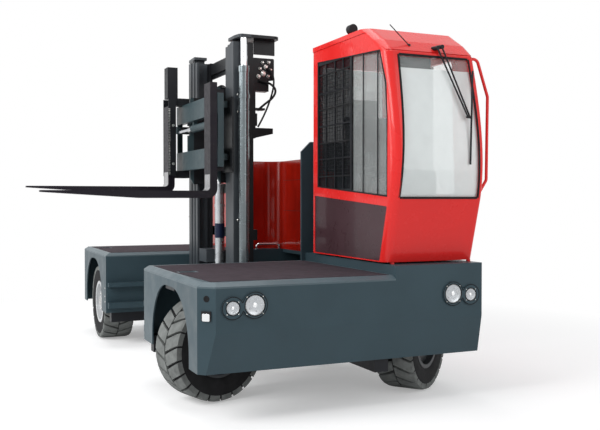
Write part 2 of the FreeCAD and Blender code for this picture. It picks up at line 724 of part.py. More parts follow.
def free_lift_cylinder():
    """Barrel in the middle of the inner stage, with its stepped collars."""
    y, x = MAST_Y, FREE_CYL_X
    barrel = rod((x, y, 460), (x, y, FREE_CYL_TOP), FREE_CYL_R)
    collars = [rod((x, y, z), (x, y, z + h), FREE_CYL_R + 4)
               for z, h in ((985, 24), (1556, 30), (FREE_CYL_TOP - 40, 40))]
    bore = rod((x, y, 500), (x, y, FREE_CYL_TOP + 5), FREE_ROD_R + 1)
    return union([barrel] + collars).cut(bore)


def free_lift_rod():
    """Rod with the sheave head that the carriage chains run over."""
    y, x = MAST_Y, FREE_CYL_X
    stem = rod((x, y, 1240), (x, y, 2700), FREE_ROD_R)
    head = box(x - 40, x + 40, y - 95, y + 95, 2700, 2760)
    sheaves = [rod((x, y + s * 70 - 14, 2770), (x, y + s * 70 + 14, 2770), 52) for s in (-1, 1)]
    return union([stem, head] + sheaves)


def mast_bracket():
    """Steel brackets on the back of the near upright; the upper one carries the valve block."""
    y0 = MAST_Y - MAST_HALF + 10
    x0, x1 = MAST_X1 + 18, MAST_X1 + 220
    plate = prism("xz", y0, y0 + 12, [(x0, 3009, 0), (x1, 3009, 12), (x1, 2800, 12), (x0, 2768, 0)])
    back = box(MAST_X1, x0 + 8, y0, y0 + 80, 2230, 3009)
    block = box(x0 + 8, x0 + 150, y0 + 12, y0 + 110, 2690, 2890)
    lug = box(x0 + 8, MAST_X1 + 125, y0, y0 + 80, 2505, 2525)
    shelf = prism("xz", y0, y0 + 110, [(x0 + 8, 2331), (MAST_X1 + 208, 2331), (MAST_X1 + 208, 2277),
                                       (x0 + 8, 2234)])
    return [plate, back, block, lug, shelf]


def tilt_cylinders():
    """Barrels of the two short tilt cylinders and their posts on the mast carriage."""
    parts = []
    x = CARRIAGE_X1 - 25
    for sign in (-1, 1):
        y = MAST_Y + sign * TILT_CYL_HALF
        post = box(x, CARRIAGE_X1, y - 50, y + 50, RAIL_TOP - 20, TILT_EYE_Z + 50)
        barrel = rod((x - 30, y, TILT_EYE_Z), (x + 1, y, TILT_EYE_Z), TILT_BARREL_R)
        bore = rod((x - 40, y, TILT_EYE_Z), (CARRIAGE_X1 - 8, y, TILT_EYE_Z), TILT_BORE_R)
        parts.append(union([post, barrel]).cut(bore))
    return parts


def tilt_rods():
    """Rods of the tilt cylinders, with the lugs on the outer stage."""
    parts = []
    x = MAST_X1 + OUTER_BEAM_GAP
    for sign in (-1, 1):
        y = MAST_Y + sign * TILT_CYL_HALF
        parts.append(rod((x + 4, y, TILT_EYE_Z), (CARRIAGE_X1 - 38, y, TILT_EYE_Z), TILT_ROD_R))
        parts.append(box(x, x + OUTER_BEAM_T, y - 40, y + 40, TILT_EYE_Z - 60, TILT_EYE_Z + 60))
    parts.append(box(x, x + OUTER_BEAM_T, MAST_Y - stage_edges(0)[0], MAST_Y + stage_edges(0)[0],
                     TILT_EYE_Z - 45, TILT_EYE_Z + 45))
    return parts


# ---- fork carriage

def fork_carriage():
    """Two beams, the roller plates behind them, notched round the positioner's rod, and the end bars."""
    x0, x1 = BEAM_X, BEAM_X + BEAM_T
    outer, inner = stage_edges(2)
    beams = [box(x0, x1, BEAM_Y0, BEAM_Y1, *band) for band in (UPPER_BEAM, LOWER_BEAM)]
    parts = list(beams)
    for sign in (-1, 1):
        a, b = sorted((MAST_Y + sign * (inner - 8), MAST_Y + sign * (inner - 38)))
        parts.append(prism("xz", a, b, [(x1 - 2, LOWER_BEAM[0] + 50, 0), (x1 + 28, LOWER_BEAM[0] + 50, 0),
                                        (x1 + 28, 1860, 0), (x1 + 60, 1800, 20), (1015, 1800, 40),
                                        (1015, 2740, 40), (x1 + 28, 2740, 0),
                                        (x1 + 28, UPPER_BEAM[1] - 50, 0), (x1 - 2, UPPER_BEAM[1] - 50, 0),
                                        (x1 - 2, POSITIONER_Z + 52, 0), (x1 + 22, POSITIONER_Z + 52, 0),
                                        (x1 + 22, POSITIONER_Z - 52, 0), (x1 - 2, POSITIONER_Z - 52, 0)]))
        x = MAST_X0 + MAST_DEPTH / 2
        radius = MAST_DEPTH / 2 - 2 * CHANNEL_STEP - FLANGE_T - ROLLER_GAP
        for z in (1880, 2660):
            end = MAST_Y + sign * (outer - WEB_T - 4)
            parts.append(rod((x, MAST_Y + sign * (inner - 20), z), (x, end, z), radius))
    for y in (BEAM_Y0, BEAM_Y1 - 26):
        parts.append(box(x0 + 4, x1, y, y + 26, LOWER_BEAM[0], UPPER_BEAM[1]))
    return union(parts + shields() + positioner_barrel())


def shields():
    """Plates behind the beams at both ends, in front of the outer uprights, each on two blocks."""
    parts = []
    for y0, y1 in (NEAR_SHIELD_Y, FAR_SHIELD_Y):
        parts.append(box(*SHIELD_X, y0, y1, *SHIELD_Z))
        middle = min(max((y0 + y1) / 2, BEAM_Y0 + 40), BEAM_Y1 - 40)
        for z0, z1 in (UPPER_BEAM, LOWER_BEAM):
            z = min(max((z0 + z1) / 2, SHIELD_Z[0] + 40), SHIELD_Z[1] - 40)
            parts.append(box(BEAM_X + BEAM_T - 1, SHIELD_X[0] + 1, middle - 30, middle + 30, z - 30, z + 30))
    return parts


def positioner_barrel():
    """Fork-positioner cylinder between the beams."""
    x, z = BEAM_X + POSITIONER_IN, POSITIONER_Z
    y0, y1 = POSITIONER_Y
    barrel = tube((x, y0, z), (x, y1, z), 40, 24)
    feet = [box(x - 20, x + 20, y, y + 40, z + 34, UPPER_BEAM[0]) for y in (y0 + 20, y1 - 70)]
    return [barrel] + feet


def positioner_rod():
    """Rod of the positioner, fixed to the far fork's guide."""
    x, z = BEAM_X + POSITIONER_IN, POSITIONER_Z
    lug_y = FAR_FORK_Y - FORK_W / 2 + 10
    stem = rod((x, POSITIONER_Y[0] + 260, z), (x, lug_y, z), 22)
    lug = box(GUIDE_BACK_X, x + 30, lug_y, lug_y + 30, z - 40, z + 40)
    return union([stem, lug])


def hooks(y, x_front, width, height=36):
    """Hooks that hang a shank on the beams: a claw over the top and one under the bottom."""
    a, b = y - width / 2, y + width / 2
    back = BEAM_X + BEAM_T + FORK_GAP
    top, bottom = UPPER_BEAM[1] + FORK_GAP, LOWER_BEAM[0] - FORK_GAP
    return [box(x_front, back + 18, a, b, top, top + height),
            box(back, back + 18, a, b, top - 40, top + height),
            box(x_front, back + 18, a, b, bottom - height, bottom),
            box(back, back + 18, a, b, bottom - height, bottom + 40)]


def fork(y, top, shank_top, back):
    """L-shaped fork: shank, rounded heel and a blade that tapers to its tip."""
    front = back - FORK_T
    heel = 90
    side = [(back, top - FORK_T, heel), (back, shank_top, 6), (front, shank_top, 6), (front, top, 35),
            (FORK_TIP_X, top, 4), (FORK_TIP_X, top - FORK_TIP_T, 4), (FORK_TIP_X + 900, top - FORK_T, 0)]
    solid = prism("xz", y - FORK_W / 2, y + FORK_W / 2, side)
    for sign in (-1, 1):
        edge = y + sign * FORK_W / 2
        tip = y + sign * FORK_TIP_W / 2
        corner = prism("xy", top - 200, top + 50, [(FORK_TIP_X - 5, tip), (FORK_TIP_X + 210, edge),
                                                   (FORK_TIP_X + 210, edge + sign * 20),
                                                   (FORK_TIP_X - 5, edge + sign * 20)])
        solid = solid.cut(corner)
    return solid


def near_fork():
    back = BEAM_X - FORK_GAP
    return union([fork(NEAR_FORK_Y, NEAR_FORK_TOP, NEAR_SHANK_TOP, back)]
                 + hooks(NEAR_FORK_Y, back - 20, 110))


def guide_y():
    """Outer faces of the guide's two flanges."""
    half = FORK_W / 2 + GUIDE_SIDE_GAP + GUIDE_FLANGE_T
    return FAR_FORK_Y - half, FAR_FORK_Y + half


def groove_x():
    """The groove in each side of the levelling shank, half way through its thickness."""
    middle = GUIDE_BACK_X - GUIDE_PLATE_T - GUIDE_BACK_GAP - FORK_T / 2
    return middle - GROOVE[0] / 2, middle + GROOVE[0] / 2


def fork_guide():
    """Guide of the levelling fork: a channel round the shank, hooked on the beams, and its top housing."""
    y0, y1 = guide_y()
    t = GUIDE_FLANGE_T
    plate = box(GUIDE_BACK_X - GUIDE_PLATE_T, GUIDE_BACK_X, y0, y1, GUIDE_BOTTOM, GUIDE_TOP)
    flanges = [box(GUIDE_FRONT_X, GUIDE_BACK_X, a, a + t, GUIDE_BOTTOM, GUIDE_TOP) for a in (y0, y1 - t)]
    g0, g1 = groove_x()
    reach = t + GUIDE_SIDE_GAP + GROOVE[1] - 2
    ribs = [box(g0 + 2, g1 - 2, a, a + reach, GUIDE_BOTTOM, GUIDE_TOP) for a in (y0, y1 - reach)]
    housing = box(*HOUSING_X, FAR_FORK_Y - HOUSING_W / 2, FAR_FORK_Y + HOUSING_W / 2,
                  GUIDE_TOP, LEVEL_HOUSING_TOP)
    claws = hooks(FAR_FORK_Y, GUIDE_BACK_X - GUIDE_PLATE_T, 150, GUIDE_HOOK_H)
    return union([plate, housing] + flanges + ribs + claws)


def far_fork():
    """Fork that slides up and down in the guide to level the load, grooved for the guide's ribs."""
    back = GUIDE_BACK_X - GUIDE_PLATE_T - GUIDE_BACK_GAP
    solid = fork(FAR_FORK_Y, FAR_FORK_TOP, FAR_SHANK_TOP, back)
    g0, g1 = groove_x()
    depth = GROOVE[1]
    edges = (FAR_FORK_Y - FORK_W / 2, FAR_FORK_Y + FORK_W / 2 - depth)
    grooves = [box(g0, g1, a, a + depth, GUIDE_BOTTOM - 130, GUIDE_TOP + 100) for a in edges]
    return less(solid, grooves)


# ---- cab

def cab_section(z, front, inset, rear=CAB_REAR):
    x0, x1 = CAB_X0 + inset, CAB_X1 - inset
    r = max(CAB_CORNER_R - inset, 12)
    door_r = max(CAB_DOOR_CORNER_R - inset, 6)
    back_r = max(CAB_REAR_R - inset, 6)
    return outline("xy", z, [(x0, front + inset, r), (x1, front + inset, door_r), (x1, rear - inset, back_r),
                             (x0, rear - inset, back_r)])


def cab_skin(inset, floor=CAB_BOTTOM, roof_drop=0):
    """The cab's outer form moved inwards by inset, from the floor up to the roof."""
    foot = cab_section(floor, CAB_FOOT_Y - (CAB_FOOT_Y - CAB_WAIST_Y) * (floor - CAB_BOTTOM)
                       / (CAB_WAIST_Z - CAB_BOTTOM), inset)
    waist = cab_section(CAB_WAIST_Z, CAB_WAIST_Y, inset)
    nose = cab_section(CAB_NOSE_Z, CAB_NOSE_Y, inset)
    upper = cab_section((CAB_NOSE_Z + CAB_BROW_Z) / 2, 28, inset)
    brow = cab_section(CAB_BROW_Z, CAB_BROW_Y, inset)
    slope = cab_section(CAB_BROW_Z + 110, 262, inset)
    top = cab_section(CAB_ROOF_Z - roof_drop, 470 - roof_drop, inset)
    return union([Part.makeLoft([foot, waist], True, True),
                  Part.makeLoft([waist, nose, upper, brow], True, False),
                  Part.makeLoft([brow, slope, top], True, True)])


def roof_region(gap):
    """Space above the roof seam, seen from the side."""
    return prism("yz", CAB_X0 - 100, CAB_X1 + 100,
                 [(-200, CAB_BROW_Z + 12 + gap), (CAB_BROW_Y + 30, CAB_BROW_Z + 12 + gap),
                  (450, CAB_ROOF_Z - 42 + gap), (CAB_REAR + 100, CAB_ROOF_Z - 42 + gap),
                  (CAB_REAR + 100, CAB_ROOF_Z + 200), (-200, CAB_ROOF_Z + 200)])


def windscreen_opening(grow):
    return prism("xz", -200, 250, [(CAB_X0 + 56 - grow, CAB_WAIST_Z + 4 - grow, 12),
                                   (CAB_X1 - 44 + grow, CAB_WAIST_Z + 4 - grow, 12),
                                   (CAB_X1 - 58 + grow, CAB_BROW_Z - 22 + grow, 30),
                                   (CAB_X0 + 112 - grow, CAB_BROW_Z - 22 + grow, 30)])


def side_window_opening(grow, x0, x1):
    return prism("yz", x0, x1, [(92 - grow, 1657 - grow, 14), (1380 + grow, 1750 - grow, 20),
                                (1380 + grow, 2911 + grow, 20), (210 - grow, 2838 + grow, 30),
                                (114 - grow, 2565 + grow, 60), (88 - grow, 2300, 60)])


def side_panel_opening(grow, x0, x1):
    return prism("yz", x0, x1, [(215 - grow, 1142 - grow, 10), (1438 + grow, 1142 - grow, 10),
                                (1438 + grow, 1671 + grow, 10), (98 - grow, 1582 + grow, 10)])


def rear_window_opening(grow):
    return prism("xz", CAB_REAR - 100, CAB_REAR + 50,
                 [(CAB_X0 + 90 - grow, 1900 - grow, 30), (CAB_X1 - 90 + grow, 1900 - grow, 30),
                  (CAB_X1 - 90 + grow, 2880 + grow, 30), (CAB_X0 + 90 - grow, 2880 + grow, 30)])


def door_opening(grow):
    (y0, y1), (z0, z1) = DOOR_Y, DOOR_Z
    return prism("yz", CAB_X1 - 120, CAB_X1 + 50,
                 [(y0 - grow, z0 - grow, 20), (y1 + grow, z0 - grow, 20), (y1 + grow, z1 + grow, 20),
                  (y0 + 60 - grow, z1 + grow, 60)])


def cab_frame():
    """Pillars, headers and lower walls of the cab, hollow, with all its openings."""
    hollow = cab_skin(CAB_WALL, CAB_BOTTOM - 5, 0)
    shell = cab_skin(0).cut(hollow)
    openings = [roof_region(0), windscreen_opening(0), side_window_opening(0, CAB_X0 - 50, CAB_X0 + 100),
                side_panel_opening(0, CAB_X0 - 50, CAB_X0 + 100), rear_window_opening(0),
                door_opening(DOOR_GAP)]
    return less(shell, openings)


def cab_roof():
    """Roof cap with a small lip round it, closed on top."""
    outer = cab_skin(-7)
    inner = cab_skin(CAB_WALL, CAB_BOTTOM, 34)
    return outer.cut(inner).common(roof_region(1))


def glass_between(opening, gap=SEAL_GAP):
    shell = cab_skin(GLASS_INSET).cut(cab_skin(GLASS_INSET + GLASS_T))
    return shell.common(opening(-gap))


def windscreen():
    return glass_between(windscreen_opening)


def side_window():
    return glass_between(lambda grow: side_window_opening(grow, CAB_X0 - 10, CAB_X0 + 60))


def rear_window():
    return glass_between(rear_window_opening)


def side_panel():
    """Dark panel in the lower part of the load-side wall."""
    return box(CAB_X0 + 4, CAB_X0 + CAB_WALL - 6, 0, CAB_REAR, CAB_BOTTOM, 1700).common(
        side_panel_opening(-1, CAB_X0 - 10, CAB_X0 + 60))


def cab_door():
    """Door on the cab side, cut for its glass."""
    leaf = cab_skin(0).cut(cab_skin(CAB_WALL)).common(door_opening(0))
    return leaf.cut(door_glass_opening(0))


def door_glass_opening(grow):
    (y0, y1), (z0, z1) = DOOR_Y, DOOR_Z
    return prism("yz", CAB_X1 - 120, CAB_X1 + 50,
                 [(y0 + 70 - grow, z0 + 330 - grow, 30), (y1 - 65 + grow, z0 + 330 - grow, 30),
                  (y1 - 65 + grow, z1 - 60 + grow, 30), (y0 + 120 - grow, z1 - 60 + grow, 50)])


def door_glass():
    return glass_between(door_glass_opening)


HINGE_R = 11
HINGE_X = CAB_X1 + 13
HINGE_Y = DOOR_Y[1] + DOOR_GAP / 2


def door_hinges(part_of):
    """Knuckles of the door hinges: the middle one turns with the door."""
    parts = []
    for z in (1560, 2640):
        if part_of == "door":
            parts.append(rod((HINGE_X, HINGE_Y, z + 31), (HINGE_X, HINGE_Y, z + 59), HINGE_R))
            parts.append(box(CAB_X1 - 4, HINGE_X, HINGE_Y - 50, HINGE_Y - 4, z + 31, z + 59))
        else:
            for z0, z1 in ((z, z + 30), (z + 60, z + 90)):
                parts.append(rod((HINGE_X, HINGE_Y, z0), (HINGE_X, HINGE_Y, z1), HINGE_R))
                parts.append(box(CAB_X1 - 4, HINGE_X, HINGE_Y + 4, HINGE_Y + 50, z0, z1))
    return parts


def door_handle():
    y = DOOR_Y[0] + 50
    return sweep([(CAB_X1 - 5, y, 1700), (CAB_X1 + 38, y, 1700), (CAB_X1 + 38, y, 1900),
                  (CAB_X1 - 5, y, 1900)], 8, 18)


def cab_floor():
    hollow = cab_skin(CAB_WALL, CAB_BOTTOM - 5)
    plate = hollow.common(box(CAB_X0, CAB_X1, 0, CAB_REAR, FLOOR_Z - 30, FLOOR_Z))
    return plate


def cab_mounts():
    """Rubber blocks between the plinth and the cab."""
    pads = [rod((x, y, PLINTH_Z), (x, y, CAB_BOTTOM), 18)
            for x in (PLINTH_X + 60, CAB_X1 - 21) for y in (CAB_FOOT_Y + 21, CAB_REAR - 21)]
    return Part.makeCompound(pads)


def window_guard():
    """Guard in front of the side glass: framed grille over the rear half and two tubes."""
    x0, x1 = CAB_X0 + 2, CAB_X0 + 12
    y0, y1 = 700, 1378
    z0, z1 = 1700, 2900
    frame = box(x0, x1, y0, y1, z0, z1).cut(box(x0 - 1, x1 + 1, y0 + 28, y1 - 22, z0 + 30, z1 - 30))
    bars = [box(x0, x1, y, y + 12, z0, z1) for y in (860, 1020, 1200)]
    bars += [box(x0, x1, y0, y1, z, z + 10) for z in (2000, 2300, 2600)]
    grille = union([frame] + bars).common(side_window_opening(-2, x0 - 5, x1 + 5))
    tubes = [rod((CAB_X0 + 7, y, z0), (CAB_X0 + 7, y, z1), 5)
             for y, z0, z1 in ((503, 1672, 2856), (258, 1655, 2838))]
    return Part.makeCompound([grille] + tubes)


def handrail():
    """Grab rail that bows out from the front pillar on the cab side."""
    y, x = 150, CAB_X1 - 12
    return sweep([(x, y, 1660), (x + 70, y, 1662), (x + 156, y - 10, 1800), (x + 164, y - 12, 2500),
                  (x + 70, y + 8, 2810), (x, y + 10, 2812)], 13, 48)


def wiper():
    """Two parallel arms and the blade, in front of the windscreen."""
    y = -36
    pivots = [(2040, 120, 2870), (2080, 116, 2882)]
    arms = [rod(pivot, (end, y + 14, z), 7) for pivot, end, z in zip(pivots, (2238, 2262), (2310, 2300))]
    head = rod((2225, y + 12, 2305), (2275, y + 12, 2300), 9)
    blade = rod((2290, y + 22, 2680), (2262, y + 8, 1920), 8)
    caps = [rod((px, py - 10, pz), (px, py + 70, pz + 6), 17) for px, py, pz in pivots]
    return union(arms + [head, blade] + caps)


def seat_places():
    return 1985, 900


def seat_base():
    x, y = seat_places()
    return union([box(x - 200, x + 200, y - 220, y + 230, FLOOR_Z, FLOOR_Z + 60),
                  box(x - 150, x + 150, y - 180, y + 190, FLOOR_Z + 60, 1650),
                  box(x - 235, x + 235, y - 250, y + 250, 1650, 1680)])


def seat_cushion():
    x, y = seat_places()
    return prism("yz", x - 245, x + 245, [(y - 290, 1681, 40), (y + 250, 1681, 20), (y + 250, 1790, 20),
                                          (y - 290, 1815, 50)])


def seat_back():
    x, y = seat_places()
    lower = prism("yz", x - 235, x + 235, [(y + 150, 1798, 20), (y + 270, 1798, 20), (y + 400, 2420, 40),
                                           (y + 300, 2420, 40)])
    head = prism("yz", x - 140, x + 140, [(y + 300, 2425, 30), (y + 400, 2425, 30), (y + 425, 2600, 40),
                                          (y + 335, 2600, 40)])
    neck = box(x - 60, x + 60, y + 330, y + 370, 2400, 2450)
    return union([lower, neck, head])


def steering_column():
    """Console in front of the seat with the column and its switches."""
    x = seat_places()[0]
    foot = prism("yz", x - 130, x + 130, [(230, FLOOR_Z, 0), (470, FLOOR_Z, 0), (430, 1880, 40),
                                          (250, 1880, 40)])
    column = rod((x, 330, 1850), (x, 458, 2090), 34)
    return union([foot, column])


def steering_wheel():
    x = seat_places()[0]
    direction = V(0, 458 - 330, 2090 - 1850).normalize()
    centre = V(x, 330, 1850) + direction * 285
    ring = Part.makeTorus(175, 14, centre, direction)
    hub = Part.makeCylinder(38, 26, centre - direction * 12, direction)
    side = V(1, 0, 0)
    other = direction.cross(side)
    spokes = []
    for angle in (90, 210, 330):
        a = math.radians(angle)
        spoke = side * math.cos(a) + other * math.sin(a)
        spokes.append(Part.makeCylinder(9, 168, centre, spoke))
    return union([ring, hub] + spokes)


def armrest_console():
    """Lever console on the load side of the seat."""
    x = seat_places()[0] - 320
    stand = box(x - 60, x + 60, 640, 1120, FLOOR_Z, 1860)
    pad = prism("yz", x - 65, x + 65, [(560, 1861, 20), (1130, 1861, 20), (1130, 1950, 30), (560, 1920, 30)])
    levers = [rod((x + dx, 610, 1915), (x + dx, 596, 2035), 11) for dx in (-38, 0, 38)]
    return union([stand, pad] + levers)


def lamp_places():
    """Centre (x, z), radius and bezel radius of each headlamp on the front plate, in pairs."""
    return [((231, 858, 50, 84), (400, 872, 76, 98)), ((2283, 861, 50, 84), (2113, 875, 76, 98))]


LAMP_PROUD = 12


def headlamp_bezels():
    """A figure-of-eight bezel round each pair of lamps."""
    bezels = []
    for pair in lamp_places():
        discs, holes = [], []
        for x, z, r, bezel_r in pair:
            discs.append(rod((x, -LAMP_PROUD, z), (x, 0, z), bezel_r))
            holes.append(rod((x, -LAMP_PROUD - 1, z), (x, 1, z), r))
        (xa, za), (xb, zb) = pair[0][:2], pair[1][:2]
        x0, x1 = sorted((xa, xb))
        discs.append(box(x0, x1, -LAMP_PROUD, 0, min(za, zb) - 38, max(za, zb) + 38))
        bezels.append(less(union(discs), holes))
    return Part.makeCompound(bezels)


def headlamp_lenses():
    lenses = []
    for pair in lamp_places():
        for x, z, r, _ in pair:
            lenses.append(rod((x, -LAMP_PROUD + 2, z), (x, 0, z), r - 0.5))
    return Part.makeCompound(lenses)


def corner_lamp():
    """Square work lamp on the cut corner."""
    mid = CORNER_CUT / 2
    lamp = box(-38, 38, -10, 0, 769, 839)
    lamp.rotate(V(0, 0, 0), Z_AXIS, -45)
    lamp.translate(V(mid, mid, 0))
    return lamp


def tail_lamps():
    lamps = [box(x - 75, x + 75, REAR_END, REAR_END + LAMP_PROUD, 850, 920) for x in (170, CHASSIS_W - 170)]
    return Part.makeCompound(lamps)


def roof_lamp():
    x, y, z = CAB_X0 + 70, 830, CAB_ROOF_Z
    foot = rod((x, y, z - 2), (x, y, z + 26), 12)
    lamp = rod((x, y - 32, z + 62), (x, y + 30, z + 62), 42)
    return union([foot, lamp])


def antenna():
    x, y, z = CAB_X0 + 266, 205, 2883
    return union([rod((x, y, z - 8), (x, y, z + 16), 13), rod((x, y, z + 8), (x - 179, y, z + 160), 4)])


# ---- the whole machine

def nodes():
    """Every node of the machine by name, in the building frame."""
    made = {
        "main_frame": main_frame(), "front_body": front_body(),
        "rear_body": rear_body(), "front_deck": front_deck(), "rear_deck": rear_deck(),
        "cab_plinth": union([cab_plinth(), hood_platform(), side_skirt()]), "cab_steps": cab_steps(),
        "guide_rails": guide_rails(), "bulkhead": bulkhead(), "power_hood": power_hood(),
        "battery_block": battery(), "hood_step": hood_step(), "rear_axle": rear_axle(),
        "headlamp_bezels": headlamp_bezels(), "headlamp_lenses": headlamp_lenses(),
        "work_lamps": Part.makeCompound([corner_lamp(), tail_lamps()]),
        "roof_fittings": Part.makeCompound([roof_lamp(), antenna()]), "cab_floor": cab_floor(),
        "cab_frame": union([cab_frame(), cab_mounts()] + door_hinges("frame")), "cab_roof": cab_roof(),
        "cab_glass": Part.makeCompound([windscreen(), side_window(), rear_window()]),
        "side_panel": side_panel(), "window_guard": window_guard(), "handrail": handrail(),
        "wiper": wiper(), "seat_base": seat_base(), "seat_cushion": seat_cushion(),
        "seat_back": seat_back(), "steering_console": union([steering_column(), steering_wheel()]),
        "armrest_console": armrest_console(),
        "cab_door": union([cab_door(), door_handle()] + door_hinges("door")), "door_glass": door_glass(),
        "mast_carriage": mast_carriage(), "mast_outer": mast_outer(),
        "lift_cylinders": lift_cylinders(), "mast_middle": mast_middle(), "lift_rods": lift_rods(),
        "mast_inner": mast_inner(), "free_lift_cylinder": free_lift_cylinder(),
        "free_lift_rod": free_lift_rod(), "fork_carriage": fork_carriage(),
        "near_fork": near_fork(), "fork_guide": fork_guide(), "positioner_rod": positioner_rod(),
        "far_fork": far_fork(),
    }
    fit_to_cab(made)
    for name, (x, y, side, steer) in wheel_places().items():
        made["tyre_" + name] = placed(tyre().cut(rim()), x, y, side, steer)
        made["rim_" + name] = placed(rim_with_bore(), x, y, side, steer)
    for name in ("front_load", "front_cab"):
        x, y, side, steer = wheel_places()[name]
        made["knuckle_" + name] = placed(knuckle(), x, y, side, steer)
    return made


def fit_to_cab(made):
    """Ends the fittings on the cab's skin, so that they meet it face to face."""
    for name in ("window_guard", "handrail", "wiper", "roof_fittings"):
        made[name] = less(made[name], [made["cab_frame"], made["cab_roof"]])


def footprint_centre(made):
    """Middle of the whole machine's box on the ground."""
    whole = Part.makeCompound(list(made.values())).optimalBoundingBox(False, False)
    return V((whole.XMin + whole.XMax) / 2, (whole.YMin + whole.YMax) / 2, whole.ZMin)


def export_all():
    made = nodes()
    centre = footprint_centre(made)
    os.makedirs("parts", exist_ok=True)
    for name, shape in made.items():
        moved = shape.copy()
        moved.translate(centre * -1)
        moved.exportStep(f"parts/{name}.step")
    print("nodes", len(made), "origin at", [round(c, 3) for c in centre])
    return centre


CENTRE = export_all()
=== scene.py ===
import bpy
import bmesh
import math
from mathutils import Matrix, Vector


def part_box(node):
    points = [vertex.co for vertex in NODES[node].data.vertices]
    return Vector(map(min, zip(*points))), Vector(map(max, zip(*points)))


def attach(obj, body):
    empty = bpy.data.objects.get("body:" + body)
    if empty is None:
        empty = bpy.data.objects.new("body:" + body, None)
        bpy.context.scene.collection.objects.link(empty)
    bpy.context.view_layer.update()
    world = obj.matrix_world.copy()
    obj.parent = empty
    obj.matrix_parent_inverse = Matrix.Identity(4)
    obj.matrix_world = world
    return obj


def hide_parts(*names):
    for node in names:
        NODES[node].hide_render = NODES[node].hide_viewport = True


# Blender works in metres, in the CAD's frame. Places on the truck are given in millimetres through at():
# X from the load side's face, Y from the front face, Z from the ground.

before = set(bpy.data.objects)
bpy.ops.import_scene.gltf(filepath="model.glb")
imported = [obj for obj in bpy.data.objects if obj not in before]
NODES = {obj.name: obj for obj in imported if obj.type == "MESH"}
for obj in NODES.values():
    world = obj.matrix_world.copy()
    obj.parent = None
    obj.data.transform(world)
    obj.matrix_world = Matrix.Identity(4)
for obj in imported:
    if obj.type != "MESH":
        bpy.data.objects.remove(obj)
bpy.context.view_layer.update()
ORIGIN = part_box("front_body")[0]
MAST_Y = 2643.5
DECK_Z = 1041
HOOD_WALL_X = 2112
FREE_CYLINDER_X = 1015
OUT_FRONT = Vector((0, -1, 0))
OUT_LOAD_SIDE = Vector((-1, 0, 0))
OUT_CAB_SIDE = Vector((1, 0, 0))
UP = Vector((0, 0, 1))


def at(x, y, z):
    return Vector((ORIGIN.x + x / 1000, ORIGIN.y + y / 1000, z / 1000))


# ---- materials

SPECULAR = 0.18
BUMP_DEPTH = 0.0012
CLEAR_COAT_ROUGHNESS = 0.06


def new_material(name):
    m = bpy.data.materials.new(name)
    m.use_nodes = True
    tree = m.node_tree
    tree.nodes.clear()
    out = tree.nodes.new("ShaderNodeOutputMaterial")
    bsdf = tree.nodes.new("ShaderNodeBsdfPrincipled")
    tree.links.new(bsdf.outputs[0], out.inputs[0])
    return m, tree, bsdf, out


def noise(tree, scale, detail=4.0, rough=0.55, stretch=(1, 1, 1)):
    coord = tree.nodes.new("ShaderNodeTexCoord")
    mapping = tree.nodes.new("ShaderNodeMapping")
    mapping.inputs["Scale"].default_value = stretch
    n = tree.nodes.new("ShaderNodeTexNoise")
    n.inputs["Scale"].default_value = scale
    n.inputs["Detail"].default_value = detail
    n.inputs["Roughness"].default_value = rough
    tree.links.new(coord.outputs["Object"], mapping.inputs[0])
    tree.links.new(mapping.outputs[0], n.inputs["Vector"])
    return n


def ramp(tree, source, stops):
    r = tree.nodes.new("ShaderNodeValToRGB")
    r.color_ramp.elements[0].position = stops[0][0]
    r.color_ramp.elements[0].color = (*stops[0][1], 1)
    r.color_ramp.elements[1].position = stops[-1][0]
    r.color_ramp.elements[1].color = (*stops[-1][1], 1)
    for place, colour in stops[1:-1]:
        r.color_ramp.elements.new(place).color = (*colour, 1)
    tree.links.new(source, r.inputs[0])
    return r.outputs[0]


def grey(v):
    return (v, v, v)


def shade(colour, k):
    return tuple(min(1.0, c * k) for c in colour)


def surface(name, colour, rough=0.4, metal=0.0, vary=0.12, scale=3.0, bump=0.15, grain=250.0, coat=0.0,
            stretch=(1, 1, 1), worn=None):
    """A coat or bare surface: patchy colour and gloss, a fine grain in the bump, and worn patches."""
    m, tree, bsdf, _ = new_material(name)
    patches = noise(tree, scale, 6.0, 0.6, stretch)
    base = ramp(tree, patches.outputs[0], [(0.3, shade(colour, 1 - vary)), (0.5, colour),
                                           (0.72, shade(colour, 1 + vary))])
    if worn:
        scratches = noise(tree, 38.0, 8.0, 0.75, (1, 1, 0.25))
        mask = ramp(tree, scratches.outputs[0], [(0.64, grey(0)), (0.74, grey(1))])
        mix = tree.nodes.new("ShaderNodeMix")
        mix.data_type = "RGBA"
        tree.links.new(mask, mix.inputs[0])
        tree.links.new(base, mix.inputs[6])
        mix.inputs[7].default_value = (*worn, 1)
        base = mix.outputs[2]
    tree.links.new(base, bsdf.inputs["Base Color"])
    bsdf.inputs["Metallic"].default_value = metal
    bsdf.inputs["Specular IOR Level"].default_value = SPECULAR
    gloss = noise(tree, scale * 4, 5.0, 0.6, stretch)
    gloss_range = [(0.3, grey(max(0.02, rough - 0.06))), (0.7, grey(min(1.0, rough + 0.08)))]
    tree.links.new(ramp(tree, gloss.outputs[0], gloss_range), bsdf.inputs["Roughness"])
    fine = noise(tree, grain, 3.0, 0.5, stretch)
    b = tree.nodes.new("ShaderNodeBump")
    b.inputs["Strength"].default_value = bump
    b.inputs["Distance"].default_value = BUMP_DEPTH
    tree.links.new(fine.outputs[0], b.inputs["Height"])
    tree.links.new(b.outputs[0], bsdf.inputs["Normal"])
    if coat:
        bsdf.inputs["Coat Weight"].default_value = coat
        bsdf.inputs["Coat Roughness"].default_value = CLEAR_COAT_ROUGHNESS
    return m


